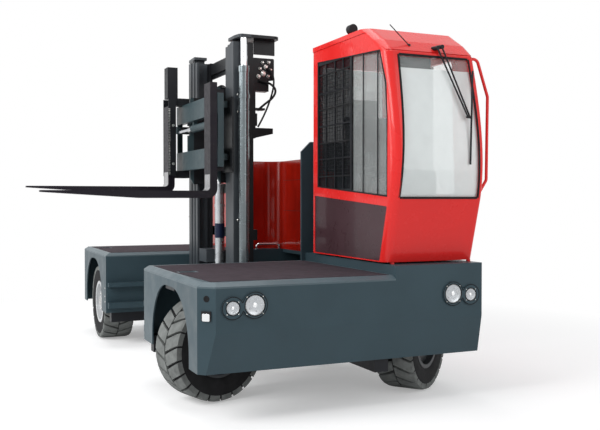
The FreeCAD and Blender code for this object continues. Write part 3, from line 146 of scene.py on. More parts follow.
def glass(name, tint, alpha):
    """Glass: mostly see-through, with a faint film of dust."""
    m, tree, bsdf, _ = new_material(name)
    bsdf.inputs["Roughness"].default_value = 0.03
    bsdf.inputs["IOR"].default_value = 1.45
    dust = noise(tree, 2.2, 5.0)
    tree.links.new(ramp(tree, dust.outputs[0], [(0.3, tint), (0.7, shade(tint, 1.04))]),
                   bsdf.inputs["Base Color"])
    tree.links.new(ramp(tree, dust.outputs[0], [(0.3, grey(alpha - 0.02)), (0.7, grey(alpha + 0.04))]),
                   bsdf.inputs["Alpha"])
    return m


def woven(name, colour):
    """Cloth: two crossed sets of fine threads, in colour and in the bump."""
    m, tree, bsdf, _ = new_material(name)
    coord = tree.nodes.new("ShaderNodeTexCoord")
    waves = []
    for axis in ("X", "Z"):
        w = tree.nodes.new("ShaderNodeTexWave")
        w.bands_direction = axis
        w.inputs["Scale"].default_value = 120.0
        w.inputs["Distortion"].default_value = 0.6
        tree.links.new(coord.outputs["Object"], w.inputs["Vector"])
        waves.append(w)
    mix = tree.nodes.new("ShaderNodeMath")
    mix.operation = "MULTIPLY"
    tree.links.new(waves[0].outputs[1], mix.inputs[0])
    tree.links.new(waves[1].outputs[1], mix.inputs[1])
    tree.links.new(ramp(tree, mix.outputs[0], [(0.0, shade(colour, 0.6)), (1.0, shade(colour, 1.5))]),
                   bsdf.inputs["Base Color"])
    b = tree.nodes.new("ShaderNodeBump")
    b.inputs["Strength"].default_value = 0.5
    b.inputs["Distance"].default_value = 0.001
    tree.links.new(mix.outputs[0], b.inputs["Height"])
    tree.links.new(b.outputs[0], bsdf.inputs["Normal"])
    bsdf.inputs["Roughness"].default_value = 0.9
    bsdf.inputs["Sheen Weight"].default_value = 0.3
    return m


M = {
    "chassis": surface("chassis_coat", (0.036, 0.063, 0.077), 0.42, vary=0.10, scale=1.6, bump=0.10,
                       coat=0.08),
    "edge": surface("edge_coat", (0.085, 0.118, 0.134), 0.40, vary=0.10, scale=2.0, bump=0.10, coat=0.1),
    "deck": surface("deck_grip", (0.036, 0.026, 0.033), 0.85, vary=0.28, scale=9.0, bump=0.9, grain=420.0),
    "red": surface("cab_coat", (0.76, 0.022, 0.020), 0.24, vary=0.05, scale=1.2, bump=0.04, coat=0.22),
    # The hood's strong, vertically stretched colour patches are painted reflections on its glossy red coat.
    "hood": surface("hood_coat_painted_reflections", (0.440, 0.012, 0.004), 0.18, vary=0.38, scale=2.2, bump=0.25, grain=5.0,
                    coat=0.3, stretch=(1, 1, 0.4)),
    "maroon": surface("dark_panel_coat", (0.052, 0.022, 0.028), 0.30, vary=0.12, scale=2.5, bump=0.06,
                      coat=0.15),
    "black": surface("black_coat", (0.012, 0.013, 0.016), 0.42, vary=0.20, scale=4.0, bump=0.2,
                     worn=(0.05, 0.05, 0.055)),
    "mast": surface("mast_coat", (0.046, 0.053, 0.060), 0.34, vary=0.16, scale=2.5, bump=0.15,
                    stretch=(1, 1, 0.2), worn=(0.17, 0.18, 0.19)),
    "beam": surface("beam_coat", (0.040, 0.064, 0.072), 0.36, vary=0.12, scale=3.0, bump=0.12),
    "fork": surface("fork_coat", (0.007, 0.005, 0.010), 0.40, vary=0.25, scale=6.0, bump=0.3,
                    stretch=(0.3, 1, 1), worn=(0.06, 0.050, 0.050)),
    "worn": surface("worn_steel", (0.42, 0.42, 0.43), 0.30, metal=1.0, vary=0.25, scale=18.0, bump=0.3,
                    stretch=(1, 6, 1)),
    "barrel": surface("barrel_steel", (0.46, 0.48, 0.50), 0.30, metal=0.9, vary=0.10, scale=6.0, bump=0.1),
    "chrome": surface("rod_chrome", (0.74, 0.75, 0.77), 0.08, metal=1.0, vary=0.03, scale=8.0, bump=0.02),
    "tyre": surface("tyre_rubber", (0.016, 0.016, 0.017), 0.82, vary=0.35, scale=11.0, bump=0.5,
                    grain=160.0),
    "tread": surface("tread_rubber", (0.175, 0.184, 0.178), 0.88, vary=0.30, scale=13.0, bump=0.6,
                     grain=170.0),
    "dark_rim": surface("rim_dark_coat", (0.050, 0.054, 0.058), 0.40, vary=0.15, scale=7.0, bump=0.12),
    "cylinder": surface("cylinder_coat", (0.150, 0.178, 0.190), 0.22, metal=0.7, vary=0.10, scale=6.0,
                        bump=0.06, coat=0.6),
    "rim": surface("rim_coat", (0.56, 0.57, 0.58), 0.34, metal=0.35, vary=0.10, scale=7.0, bump=0.12),
    "plastic": surface("moulded_black", (0.016, 0.016, 0.018), 0.58, vary=0.15, scale=6.0, bump=0.4,
                       grain=600.0),
    "gasket": surface("gasket_rubber", (0.010, 0.010, 0.011), 0.70, vary=0.2, scale=12.0, bump=0.2),
    "zinc": surface("bolt_zinc", (0.55, 0.55, 0.53), 0.28, metal=1.0, vary=0.12, scale=30.0, bump=0.1),
    "mirror": surface("reflector", (0.86, 0.87, 0.88), 0.06, metal=1.0, vary=0.04, scale=14.0, bump=0.05),
    "hose": surface("hose_rubber", (0.013, 0.013, 0.014), 0.52, vary=0.2, scale=14.0, bump=0.35,
                    grain=500.0),
    "chain": surface("chain_steel", (0.16, 0.15, 0.14), 0.36, metal=0.9, vary=0.25, scale=20.0, bump=0.3),
    "blue": surface("band_coat", (0.010, 0.017, 0.045), 0.35, vary=0.12, scale=6.0, bump=0.1),
    "battery": surface("battery_case", (0.030, 0.032, 0.036), 0.50, vary=0.15, scale=3.0, bump=0.2),
    "glass": glass("window_glass", (0.88, 0.93, 0.92), 0.12),
    "lens": glass("lamp_glass", (0.93, 0.95, 0.96), 0.22),
    "cloth": woven("seat_cloth", (0.028, 0.028, 0.032)),
}

NODE_MATERIALS = {
    "chassis": ("front_body", "rear_body", "cab_plinth", "guide_rails", "bulkhead", "headlamp_bezels"),
    "edge": ("front_deck", "rear_deck"),
    "red": ("cab_frame", "cab_roof", "cab_door", "handrail"),
    "hood": ("power_hood",),
    "maroon": ("side_panel",),
    "black": ("main_frame", "rear_axle", "cab_steps", "knuckle_front_load", "knuckle_front_cab",
              "mast_carriage", "fork_guide", "window_guard"),
    "mast": ("mast_outer", "mast_middle", "mast_inner"),
    "beam": ("fork_carriage",),
    "fork": ("near_fork", "far_fork"),
    "barrel": ("free_lift_cylinder",),
    "cylinder": ("lift_cylinders",),
    "chrome": ("lift_rods", "free_lift_rod", "positioner_rod", "hood_step"),
    "plastic": ("work_lamps", "roof_fittings", "cab_floor", "wiper", "seat_base",
                "steering_console", "armrest_console"),
    "battery": ("battery_block",),
    "glass": ("cab_glass", "door_glass"),
    "lens": ("headlamp_lenses",),
    "rim": ("rim_rear_load", "rim_rear_cab"),
    "dark_rim": ("rim_front_load", "rim_front_cab"),
    "tyre": tuple("tyre_" + n for n in ("front_load", "front_cab", "rear_load", "rear_cab")),
    "cloth": ("seat_cushion", "seat_back"),
}


# The windscreen lies past this X and in front of this Y; its clear band starts at this Z.
WINDSCREEN_X = 1590
WINDSCREEN_BACK_Y = 300
CLEAR_BAND_Z = 2690
REAR_GLASS_Y = 700
# Past these X the mast gets painted shade, a near black colour for its shaded far side, and the beams are
# black.
SHADED_MAST_X = 1050
DARK_BEAM_X = 870


def beyond(tree, axis, limit):
    """1 where the object's own coordinate on the axis is past the limit, else 0."""
    coord = tree.nodes.new("ShaderNodeTexCoord")
    parts = tree.nodes.new("ShaderNodeSeparateXYZ")
    past = tree.nodes.new("ShaderNodeMath")
    past.operation = "GREATER_THAN"
    past.inputs[1].default_value = limit
    tree.links.new(coord.outputs["Object"], parts.inputs[0])
    tree.links.new(parts.outputs["XYZ".index(axis)], past.inputs[0])
    return past.outputs[0]


def shader_of(material):
    return next(node for node in material.node_tree.nodes if node.type == "BSDF_PRINCIPLED")


def coat_and_shade_past_limit(material, axis, limit, colour):
    """Another colour on the part of a surface that lies past the limit: the beams' black ends, and painted
    shade on the mast and on the glass.
    """
    tree = material.node_tree
    bsdf = shader_of(material)
    first = bsdf.inputs["Base Color"].links[0].from_socket
    patches = noise(tree, 4.0, 5.0)
    mix = tree.nodes.new("ShaderNodeMix")
    mix.data_type = "RGBA"
    tree.links.new(beyond(tree, axis, limit), mix.inputs[0])
    tree.links.new(first, mix.inputs[6])
    tree.links.new(ramp(tree, patches.outputs[0], [(0.3, shade(colour, 0.85)), (0.7, shade(colour, 1.15))]),
                   mix.inputs[7])
    tree.links.new(mix.outputs[2], bsdf.inputs["Base Color"])


def painted_light_and_shade_on_glass(material):
    """Patchy opacity as painted light and shade: on the windscreen below its clear top band its pale tint
    stands for brightness seen through it, and on all glass behind REAR_GLASS_Y the dark colour given there
    is painted shade.
    """
    tree = material.node_tree
    bsdf = shader_of(material)
    first = bsdf.inputs["Alpha"].links[0].from_socket
    mask = beyond(tree, "X", at(WINDSCREEN_X, 0, 0).x)
    for other in (beyond(tree, "Y", at(0, WINDSCREEN_BACK_Y, 0).y), beyond(tree, "Z", CLEAR_BAND_Z / 1000)):
        keep = tree.nodes.new("ShaderNodeMath")
        keep.operation = "SUBTRACT"
        keep.use_clamp = True
        tree.links.new(mask, keep.inputs[0])
        tree.links.new(other, keep.inputs[1])
        mask = keep.outputs[0]
    glass_light_shade_patches = noise(tree, 1.6, 4.0)
    mix = tree.nodes.new("ShaderNodeMix")
    tree.links.new(mask, mix.inputs[0])
    tree.links.new(first, mix.inputs[2])
    tree.links.new(ramp(tree, glass_light_shade_patches.outputs[0], [(0.3, grey(0.56)), (0.7, grey(0.70))]), mix.inputs[3])
    shaded = tree.nodes.new("ShaderNodeMix")
    tree.links.new(beyond(tree, "Y", at(0, REAR_GLASS_Y, 0).y), shaded.inputs[0])
    tree.links.new(mix.outputs[0], shaded.inputs[2])
    tree.links.new(ramp(tree, glass_light_shade_patches.outputs[0], [(0.3, grey(0.50)), (0.7, grey(0.64))]), shaded.inputs[3])
    tree.links.new(shaded.outputs[0], bsdf.inputs["Alpha"])


# Painted shade: the mast's far side, away from the load side, is coloured near black.
coat_and_shade_past_limit(M["mast"], "X", at(SHADED_MAST_X, 0, 0).x, (0.012, 0.013, 0.015))
coat_and_shade_past_limit(M["beam"], "X", at(DARK_BEAM_X, 0, 0).x, (0.013, 0.014, 0.016))
# Painted light on the windscreen: its pale tint is made more opaque below the clear band, in patches.
painted_light_and_shade_on_glass(M["glass"])
# Painted shade: the glass behind REAR_GLASS_Y is coloured dark for the dark cab inside seen through it.
coat_and_shade_past_limit(M["glass"], "Y", at(0, REAR_GLASS_Y, 0).y, (0.020, 0.023, 0.026))


def paint(obj, material):
    """Gives a CAD object a material on its slots, and leaves its mesh alone."""
    for s in obj.material_slots:
        s.link = "OBJECT"
        s.material = material


for key, names in NODE_MATERIALS.items():
    for node_name in names:
        paint(NODES[node_name], M[key])


# ---- pieces

def piece(name, bm, material, body="chassis", *, bevel=0.0):
    """Makes an object from the mesh, smooth except at its edges, that rides on a body."""
    bmesh.ops.recalc_face_normals(bm, faces=bm.faces)
    mesh = bpy.data.meshes.new(name)
    bm.to_mesh(mesh)
    bm.free()
    obj = bpy.data.objects.new(name, mesh)
    bpy.context.scene.collection.objects.link(obj)
    mesh.materials.append(M[material])
    for p in mesh.polygons:
        p.use_smooth = True
    mesh.set_sharp_from_angle(angle=math.radians(35))
    if bevel:
        b = obj.modifiers.new("edges", "BEVEL")
        b.width = bevel
        b.segments = 2
        b.limit_method = "ANGLE"
    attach(obj, body)
    return obj


def frame_of(direction):
    """A rotation that takes Z to the direction."""
    return Vector(direction).to_track_quat("Z", "Y").to_matrix().to_4x4()


def lathe(bm, profile, centre, direction, segments=40):
    """Adds a turned form: (along, radius) points about the direction through the centre."""
    turn = Matrix.Translation(centre) @ frame_of(direction)
    rings = []
    for along, radius in profile:
        if radius < 1e-6:
            rings.append([bm.verts.new(turn @ Vector((0, 0, along)))])
            continue
        ring = []
        for i in range(segments):
            a = 2 * math.pi * i / segments
            ring.append(bm.verts.new(turn @ Vector((radius * math.cos(a), radius * math.sin(a), along))))
        rings.append(ring)
    for low, high in zip(rings, rings[1:]):
        for i in range(segments):
            j = (i + 1) % segments
            corners = [low[i % len(low)], low[j % len(low)], high[j % len(high)], high[i % len(high)]]
            unique = list(dict.fromkeys(corners))
            if len(unique) > 2:
                bm.faces.new(unique)


def slab(bm, lo, hi):
    """Adds a box between two corners."""
    made = bmesh.ops.create_cube(bm, size=1.0)["verts"]
    size = hi - lo
    for v in made:
        v.co = Vector((lo[k] + size[k] * (v.co[k] + 0.5) for k in range(3)))


def plate(bm, outline, thickness):
    """Adds a plate from points round its edge, thickened by a vector."""
    low = [bm.verts.new(p) for p in outline]
    high = [bm.verts.new(p + thickness) for p in outline]
    bm.faces.new(low)
    bm.faces.new(high)
    for i in range(len(low)):
        j = (i + 1) % len(low)
        bm.faces.new([low[i], low[j], high[j], high[i]])


def bolt(bm, centre, direction, radius, height, washer=True):
    """Adds a hexagon head with a chamfer, on a washer if asked."""
    if washer:
        lathe(bm, [(0, radius * 1.5), (0.0018, radius * 1.5), (0.0018, 0)], centre, direction, 20)
    profile = [(0, radius), (height * 0.75, radius), (height, radius * 0.82), (height, 0)]
    lathe(bm, profile, centre, direction, 6)


def tube(name, points, radius, material, body="chassis", *, slot):
    """A round bar or hose along a smooth line that the points pull on, with flat ends."""
    curve = bpy.data.curves.new(name, "CURVE")
    curve.dimensions = "3D"
    spline = curve.splines.new("NURBS")
    spline.points.add(len(points) - 1)
    for target, p in zip(spline.points, points):
        target.co = (*p, 1)
    spline.order_u = 3
    spline.use_endpoint_u = True
    curve.bevel_depth = radius
    curve.bevel_resolution = 4
    curve.resolution_u = 8
    curve.use_fill_caps = True
    curve.materials.append(M[material])
    obj = bpy.data.objects.new(name, curve)
    bpy.context.scene.collection.objects.link(obj)
    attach(obj, body)


# ---- decks

MAT_X0 = 70
MAT_X1 = 1560
MAT_T = 2.2
MAT_CORNER = 200
CUP_X = 180
CUP_HALF_LENGTH = 88
CUP_HALF_WIDTH = 62


def deck_mats():
    """Anti-slip coat on both decks, inside the painted border, with the lashing cups left free."""
    for name, y0, y1, cup_y in (("front_deck_mat", 70, 1680, 971), ("rear_deck_mat", 3607, 4890, 4554)):
        bm = bmesh.new()
        left, right = CUP_X - CUP_HALF_LENGTH, CUP_X + CUP_HALF_LENGTH
        low, high = cup_y - CUP_HALF_WIDTH, cup_y + CUP_HALF_WIDTH
        for a, b, c, d in ((MAT_X0, MAT_X1, y0, low), (MAT_X0, MAT_X1, high, y1),
                           (MAT_X0, left, low, high), (right, MAT_X1, low, high)):
            slab(bm, at(a, c, DECK_Z), at(b, d, DECK_Z + MAT_T))
        if name.startswith("front"):
            trim_corner(bm)
        piece(name, bm, "deck")


def trim_corner(bm):
    """Moves what lies past the deck's cut corner back to a line along it."""
    for v in bm.verts:
        local = v.co - at(0, 0, 0)
        short = MAT_CORNER / 1000 - (local.x + local.y)
        if short > 0:
            v.co.x += short / 2
            v.co.y += short / 2


# ---- wheels

# Centre (x, y), and in degrees the turn that puts the dish outside and the steering angle.
WHEELS = {"front_load": (350, 893, 0, -75), "front_cab": (2064, 560, 180, -54),
          "rear_load": (211, 4247, 0, 0), "rear_cab": (2189, 4247, 180, 0)}
# The wheel's sizes are in metres, because it is drawn about its own centre.
TYRE_R = 0.427
TYRE_W = 0.335
BEAD_R = 0.234
CARCASS_SIDES = 96
LUG_H = 0.021
LUGS = 22
LUG_STEPS = 6
LUG_LEAN = 0.62
LUG_DRAFT = 0.006
SHOULDER = 0.78
RIM_INSET = 0.024
NUT_INSET = 0.025
NUT_CIRCLE_R = 0.098
NUTS = 8


def wheel_turn(name):
    x, y, flip, steer = WHEELS[name]
    turn = Matrix.Rotation(math.radians(steer), 4, "Z") @ Matrix.Rotation(math.radians(flip), 4, "Z")
    return Matrix.Translation(at(x, y, TYRE_R * 1000)) @ turn


def carcass(bm, turn):
    """The tyre's body with its beads."""
    half = TYRE_W / 2
    low = TYRE_R - LUG_H
    wall = [(half - 0.022, BEAD_R), (half - 0.006, 0.262), (half - 0.004, 0.300), (half, 0.345),
            (half - 0.003, low - 0.020), (half - 0.014, low - 0.004), (half - 0.030, low)]
    profile = [(-x, r) for x, r in wall] + wall[::-1]
    turns = [2 * math.pi * i / CARCASS_SIDES for i in range(CARCASS_SIDES)]
    rings = [[bm.verts.new(turn @ Vector((x, r * math.cos(a), r * math.sin(a)))) for a in turns]
             for x, r in profile]
    for a, b in zip(rings, rings[1:] + rings[:1]):
        for i in range(CARCASS_SIDES):
            j = (i + 1) % CARCASS_SIDES
            bm.faces.new([a[i], a[j], b[j], b[i]])


def tread(bm, turn):
    """Two staggered rows of chevron blocks that wrap the shoulders."""
    pitch = 2 * math.pi / LUGS
    for side in (-1, 1):
        for i in range(LUGS):
            start = i * pitch + (pitch / 2 if side > 0 else 0)
            lug(bm, turn, side, start, pitch)


def lug(bm, turn, side, start, pitch):
    """One block: narrow at the middle, wide at the shoulder, its ends swept back like a chevron."""
    half = TYRE_W / 2
    rows = []
    for k in range(LUG_STEPS + 1):
        t = k / LUG_STEPS
        u = 0.006 + (half - 0.004) * t
        first = start + LUG_LEAN * pitch * (1 - t)
        width = pitch * (0.82 + 0.05 * t)
        drop = max(0.0, t - SHOULDER) / (1 - SHOULDER)
        top = TYRE_R - 0.0005 - 0.012 * drop
        base = TYRE_R - LUG_H - 0.004 - 0.030 * drop
        row = []
        for along, draft in ((0, LUG_DRAFT), (width * 0.5, 0), (width, -LUG_DRAFT)):
            for r, a in ((base, first + along), (top, first + along + draft)):
                row.append(bm.verts.new(turn @ Vector((side * min(u, half - 0.001), r * math.cos(a),
                                                       r * math.sin(a)))))
        rows.append(row)
    for a, b in zip(rows, rows[1:]):
        bm.faces.new([a[1], b[1], b[3], a[3]])
        bm.faces.new([a[3], b[3], b[5], a[5]])
        bm.faces.new([a[0], b[0], b[1], a[1]])
        bm.faces.new([a[5], b[5], b[4], a[4]])
    for row in (rows[0], rows[-1]):
        bm.faces.new([row[i] for i in (0, 1, 3, 5, 4, 2)])


def wheels():
    """Tyre and blocks in place of each plain CAD tyre, with nuts and a hub cap in the dish."""
    for name in WHEELS:
        turn = wheel_turn(name)
        body = "wheel_" + name
        bm = bmesh.new()
        carcass(bm, turn)
        obj = piece("tyre_carcass_" + name, bm, "tyre", body)
        bm = bmesh.new()
        tread(bm, turn)
        blocks = piece("tyre_tread_" + name, bm, "tread", body)
        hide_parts("tyre_" + name)
        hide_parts("tyre_" + name)
        bm = bmesh.new()
        out = (turn.to_3x3() @ OUT_LOAD_SIDE).normalized()
        rim_edge = -TYRE_W / 2 + RIM_INSET
        for i in range(NUTS):
            a = 2 * math.pi * (i + 0.5) / NUTS
            place = Vector((rim_edge + NUT_INSET, NUT_CIRCLE_R * math.cos(a), NUT_CIRCLE_R * math.sin(a)))
            bolt(bm, turn @ place, out, 0.014, 0.018)
        cap = turn @ Vector((rim_edge - 0.001, 0, 0))
        lathe(bm, [(0, 0.050), (0.004, 0.050), (0.010, 0.040), (0.012, 0.0)], cap, out, 32)
        piece("wheel_nuts_" + name, bm, "zinc", body)


# ---- lamps

# Each lamp's centre (x, z), lens radius and bezel radius, in pairs.
LAMPS = [((231, 858, 50, 84), (400, 872, 76, 98)), ((2283, 861, 50, 84), (2113, 875, 76, 98))]
BEZEL_FACE_Y = -12
BOWL_Y = -9.6
OUTLINE_R = 0.0030
OUTLINE_OFFSET = 3
OUTLINE_STEPS = 32


def headlamps():
    """A dished reflector with five small cones, a bulb and four screws for each lamp."""
    bowls = bmesh.new()
    screws = bmesh.new()
    bulbs = bmesh.new()
    for x, z, r, _ in (lamp for pair in LAMPS for lamp in pair):
        c = at(x, BOWL_Y, z)
        k = r / 1000
        lathe(bowls, [(0.0, k * 0.93), (-0.0035, k * 0.86), (-0.006, k * 0.55), (-0.0075, k * 0.25),
                      (-0.008, 0.0)], c, OUT_FRONT, 40)
        for i in range(5):
            a = 2 * math.pi * i / 5
            o = Vector((math.cos(a) * k * 0.62, 0, math.sin(a) * k * 0.62))
            lathe(bowls, [(-0.004, k * 0.10), (-0.001, k * 0.08), (0.0, 0)], c + o, OUT_FRONT, 14)
        lathe(bulbs, [(-0.007, k * 0.26), (-0.001, k * 0.22), (0.0008, k * 0.10), (0.001, 0)],
              c, OUT_FRONT, 24)
        for i in range(4):
            a = math.radians(45 + 90 * i)
            o = Vector((math.cos(a), 0, math.sin(a))) * (k + 0.012)
            bolt(screws, at(x, BEZEL_FACE_Y, z) + o, OUT_FRONT, 0.0045, 0.003, False)
    piece("lamp_reflectors", bowls, "barrel")
    piece("lamp_bulbs", bulbs, "mirror")
    piece("lamp_screws", screws, "zinc")


def lamp_arc(x, z, radius, first, last):
    """Points on the bezels' face round a lamp, from one angle to another."""
    points = []
    for i in range(OUTLINE_STEPS + 1):
        a = first + (last - first) * i / OUTLINE_STEPS
        points.append(at(x + radius * math.cos(a), BEZEL_FACE_Y, z + radius * math.sin(a)))
    return points


def lamp_outlines():
    """A thin dark line round each pair's bezel, as a figure of eight, and round each lens."""
    for number, pair in enumerate(LAMPS):
        (xa, za, _, ra), (xb, zb, _, rb) = sorted(pair)
        gap = math.hypot(xb - xa, zb - za)
        tilt = math.atan2(zb - za, xb - xa)
        cut_a = math.acos((gap ** 2 + ra ** 2 - rb ** 2) / (2 * gap * ra))
        cut_b = math.acos((gap ** 2 + rb ** 2 - ra ** 2) / (2 * gap * rb))
        path = lamp_arc(xa, za, ra - OUTLINE_OFFSET, tilt + cut_a, tilt + 2 * math.pi - cut_a)
        path += lamp_arc(xb, zb, rb - OUTLINE_OFFSET, tilt + cut_b - math.pi, tilt + math.pi - cut_b)
        tube("lamp_outline_%d" % number, path + path[:1], OUTLINE_R, "gasket", slot="black_plastic")
        for side, (x, z, r, _) in enumerate(pair):
            tube("lens_outline_%d_%d" % (number, side), lamp_arc(x, z, r + OUTLINE_OFFSET, 0, 2 * math.pi),
                 OUTLINE_R, "gasket", slot="black_plastic")


# ---- front corner, bolts and seams

CORNER_CUT = 106
LENS_Z = 0.795
LENS_HALF_WIDTH = 0.030
LENS_HALF_HEIGHT = 0.027
PLUG_Z = 0.927
MODULE_BOLT_Y = 3600
SEAM_Z0 = 998
SEAM_Z1 = 1003
CUT_SQUARE = [(-1, -0.8), (-0.8, -1), (0.8, -1), (1, -0.8), (1, 0.8), (0.8, 1), (-0.8, 1), (-1, 0.8)]


def corner_fittings():
    """Lens of the corner lamp and the dark plug above it."""
    out = Vector((-1, -1, 0)).normalized()
    along = Vector((1, -1, 0)).normalized()
    middle = at(CORNER_CUT / 2, CORNER_CUT / 2, 0)
    bm = bmesh.new()
    c = middle + out * 0.0101 + UP * LENS_Z
    outline = [c + along * (u * LENS_HALF_WIDTH) + UP * (v * LENS_HALF_HEIGHT) for u, v in CUT_SQUARE]
    plate(bm, outline, out * 0.0016)
    piece("corner_lamp_lens", bm, "mirror", bevel=0.0006)
    bm = bmesh.new()
    lathe(bm, [(0.0002, 0.024), (0.0026, 0.022), (0.0026, 0.015), (0.0006, 0.014), (0.0006, 0)],
          middle + UP * PLUG_Z, out, 28)
    piece("corner_plug", bm, "gasket")


def rear_module_bolts():
    """Three bolts near the front of the rear module, on the load side."""
    bm = bmesh.new()
    for z in (500, 560, 650):
        bolt(bm, at(0, MODULE_BOLT_Y, z), OUT_LOAD_SIDE, 0.007, 0.005)
    piece("rear_module_bolts", bm, "zinc")


def body_seams():
    """A thin seam below the deck, along the load side of the front and the rear module."""
    bm = bmesh.new()
    for y0, y1 in ((110, 1736), (3551, 4946)):
        slab(bm, at(-1.0, y0, SEAM_Z0), at(0.2, y1, SEAM_Z1))
    piece("chassis_seams", bm, "edge", bevel=0.0004)


# ---- cab

SIDE_WINDOW_X = 1554
SIDE_WINDOW = [(92, 1657), (1380, 1750), (1380, 2911), (210, 2838), (114, 2565), (88, 2300)]
# The windscreen's side edges: which side, X at its bottom, X at its top.
WINDSCREEN_EDGES = [(-1, 1611, 1667), (1, 2356, 2342)]
WINDSCREEN_Z0 = 1646
WINDSCREEN_Z1 = 2800
GUARD_X = 1560
GUARD_Y0 = 732
GUARD_Y1 = 1350
GUARD_Z0 = 1840
GUARD_Z1 = 2784
WIRE_T = 3.4
VISOR_X = 1682
VISOR_LENGTH = 331
VISOR_Y = 176
VISOR_WAVE = 3
VISOR_ROWS_Z = (2696, 2722, 2790)


def ring(bm, points, width, lift, out):
    """A closed strip that follows points, of the given width, standing off by lift."""
    centre = sum(points, Vector()) / len(points)
    inner, outer = [], []
    for p in points:
        towards = centre - p
        towards -= out * towards.dot(out)
        towards.normalize()
        inner.append(p + towards * width)
        outer.append(p)
    for i in range(len(points)):
        j = (i + 1) % len(points)
        quad = [outer[i], outer[j], inner[j], inner[i]]
        plate(bm, quad, out * lift)


def on_cab_front(x, z):
    """The point of the cab's front skin at (x, z), found on the CAD mesh, or None beside it."""
    hit, place, _, _ = NODES["cab_frame"].ray_cast(at(x, -400, z), Vector((0, 1, 0)))
    return place if hit else None


def side_gasket():
    """Rubber strip round the side window."""
    bm = bmesh.new()
    ring(bm, [at(SIDE_WINDOW_X, y, z) for y, z in SIDE_WINDOW], 0.016, 0.004, OUT_CAB_SIDE)
    piece("side_gasket", bm, "gasket")


def windscreen_gasket():
    """Rubber strips along the windscreen's four edges, laid on the cab's curved front."""
    bm = bmesh.new()
    lift = OUT_FRONT * 0.003
    bottom, top = WINDSCREEN_Z0 + 4, WINDSCREEN_Z1 - 4
    heights = [bottom + (top - bottom) * k / 16 for k in range(17)]
    for sign, low, high in WINDSCREEN_EDGES:
        edge = []
        for z in heights:
            x = low + (high - low) * (z - WINDSCREEN_Z0) / (WINDSCREEN_Z1 - WINDSCREEN_Z0)
            place = on_cab_front(x + sign * 9, z)
            if place:
                edge.append((at(x, 0, z).x, place.y, z / 1000))
        for (xa, ya, za), (xb, yb, zb) in zip(edge, edge[1:]):
            plate(bm, [Vector((xa + sign * 0.006, ya, za)), Vector((xb + sign * 0.006, yb, zb)),
                       Vector((xb - sign * 0.012, yb, zb)), Vector((xa - sign * 0.012, ya, za))], lift)
    for z, width, start, length in ((WINDSCREEN_Z0 - 6, 0.018, 1618, 730),
                                    (WINDSCREEN_Z1 + 6, -0.018, 1676, 660)):
        found = [p for p in (on_cab_front(start + length * k / 12, z) for k in range(13)) if p]
        for p, q in zip(found, found[1:]):
            plate(bm, [p, q, q + UP * width, p + UP * width], lift)
    piece("windscreen_gasket", bm, "gasket")


def guard_mesh():
    """Crossed wires and four flat bars of the guard over the rear half of the side window."""
    bm = bmesh.new()
    r = WIRE_T / 2
    for k in range(29):
        z = GUARD_Z0 + k * (GUARD_Z1 - GUARD_Z0) / 28
        slab(bm, at(GUARD_X, GUARD_Y0, z - r), at(GUARD_X + WIRE_T, GUARD_Y1, z + r))
    for k in range(13):
        y = GUARD_Y0 + k * (GUARD_Y1 - GUARD_Y0) / 12
        slab(bm, at(GUARD_X + WIRE_T, y - r, GUARD_Z0), at(GUARD_X + 2 * WIRE_T, y + r, GUARD_Z1))
    for z in (1846, 2150, 2460, 2778):
        slab(bm, at(GUARD_X - 2, GUARD_Y0, z - 6), at(GUARD_X + 6, GUARD_Y1, z + 6))
    piece("guard_mesh", bm, "gasket", bevel=0.0006)


def visor():
    """Dark blind behind the top of the windscreen, with a slight wave in it."""
    bm = bmesh.new()
    rows = []
    for k in range(9):
        x = VISOR_X + VISOR_LENGTH * k / 8
        y = VISOR_Y + VISOR_WAVE * math.sin(k * 0.8)
        rows.append([bm.verts.new(at(x, y, z)) for z in VISOR_ROWS_Z])
    for a, b in zip(rows, rows[1:]):
        for k in range(2):
            bm.faces.new([a[k], a[k + 1], b[k + 1], b[k]])
    piece("sun_visor", bm, "plastic")


# ---- hood

JOINT_W = 4
HOOD_Y0 = 1752
HOOD_Y1 = 3520
JOINT_Z0 = 1060
JOINT_Z1 = 2080
LOUVRES = 9
LOUVRE_PITCH = 30
LOUVRE_H = 12
LOUVRE_Y0 = 2420
LOUVRE_Y1 = 2880


def hood_details():
    """Panel joints and louvres on the battery hood's wall beside the well."""
    bm = bmesh.new()
    back, face = HOOD_WALL_X + 1, HOOD_WALL_X - 1
    for z in (1500, 1860):
        slab(bm, at(face, HOOD_Y0, z), at(back, HOOD_Y1, z + JOINT_W))
    for y in (2350, 2950):
        slab(bm, at(face, y, JOINT_Z0), at(back, y + JOINT_W, JOINT_Z1))
    piece("hood_joints", bm, "gasket")
    bm = bmesh.new()
    for i in range(LOUVRES):
        z = 1180 + i * LOUVRE_PITCH
        slab(bm, at(HOOD_WALL_X - 6, LOUVRE_Y0, z), at(back, LOUVRE_Y1, z + LOUVRE_H))
    piece("hood_louvres", bm, "plastic", bevel=0.002)


# ---- mast

CHAIN_SPREAD = 70
CHAIN_RUN_X = 54
CHAIN_TOP_Z = 2768
CHAIN_PITCH = 19
LINK_LENGTH = 17
CYLINDER_BOLT_X = 925
SIDE_CYLINDER_SPREAD = 814
VALVE_BACK_Y = 2013.5
VALVE_FRONT_Y = 1903.5
# Unions and caps on the valve block's front: X, Z, radius.
VALVE_CAPS = [(1165, 2830, 16), (1215, 2860, 21), (1265, 2835, 14), (1180, 2905, 13), (1240, 2925, 17),
              (1290, 2900, 12), (1205, 2965, 12), (1270, 2970, 14)]


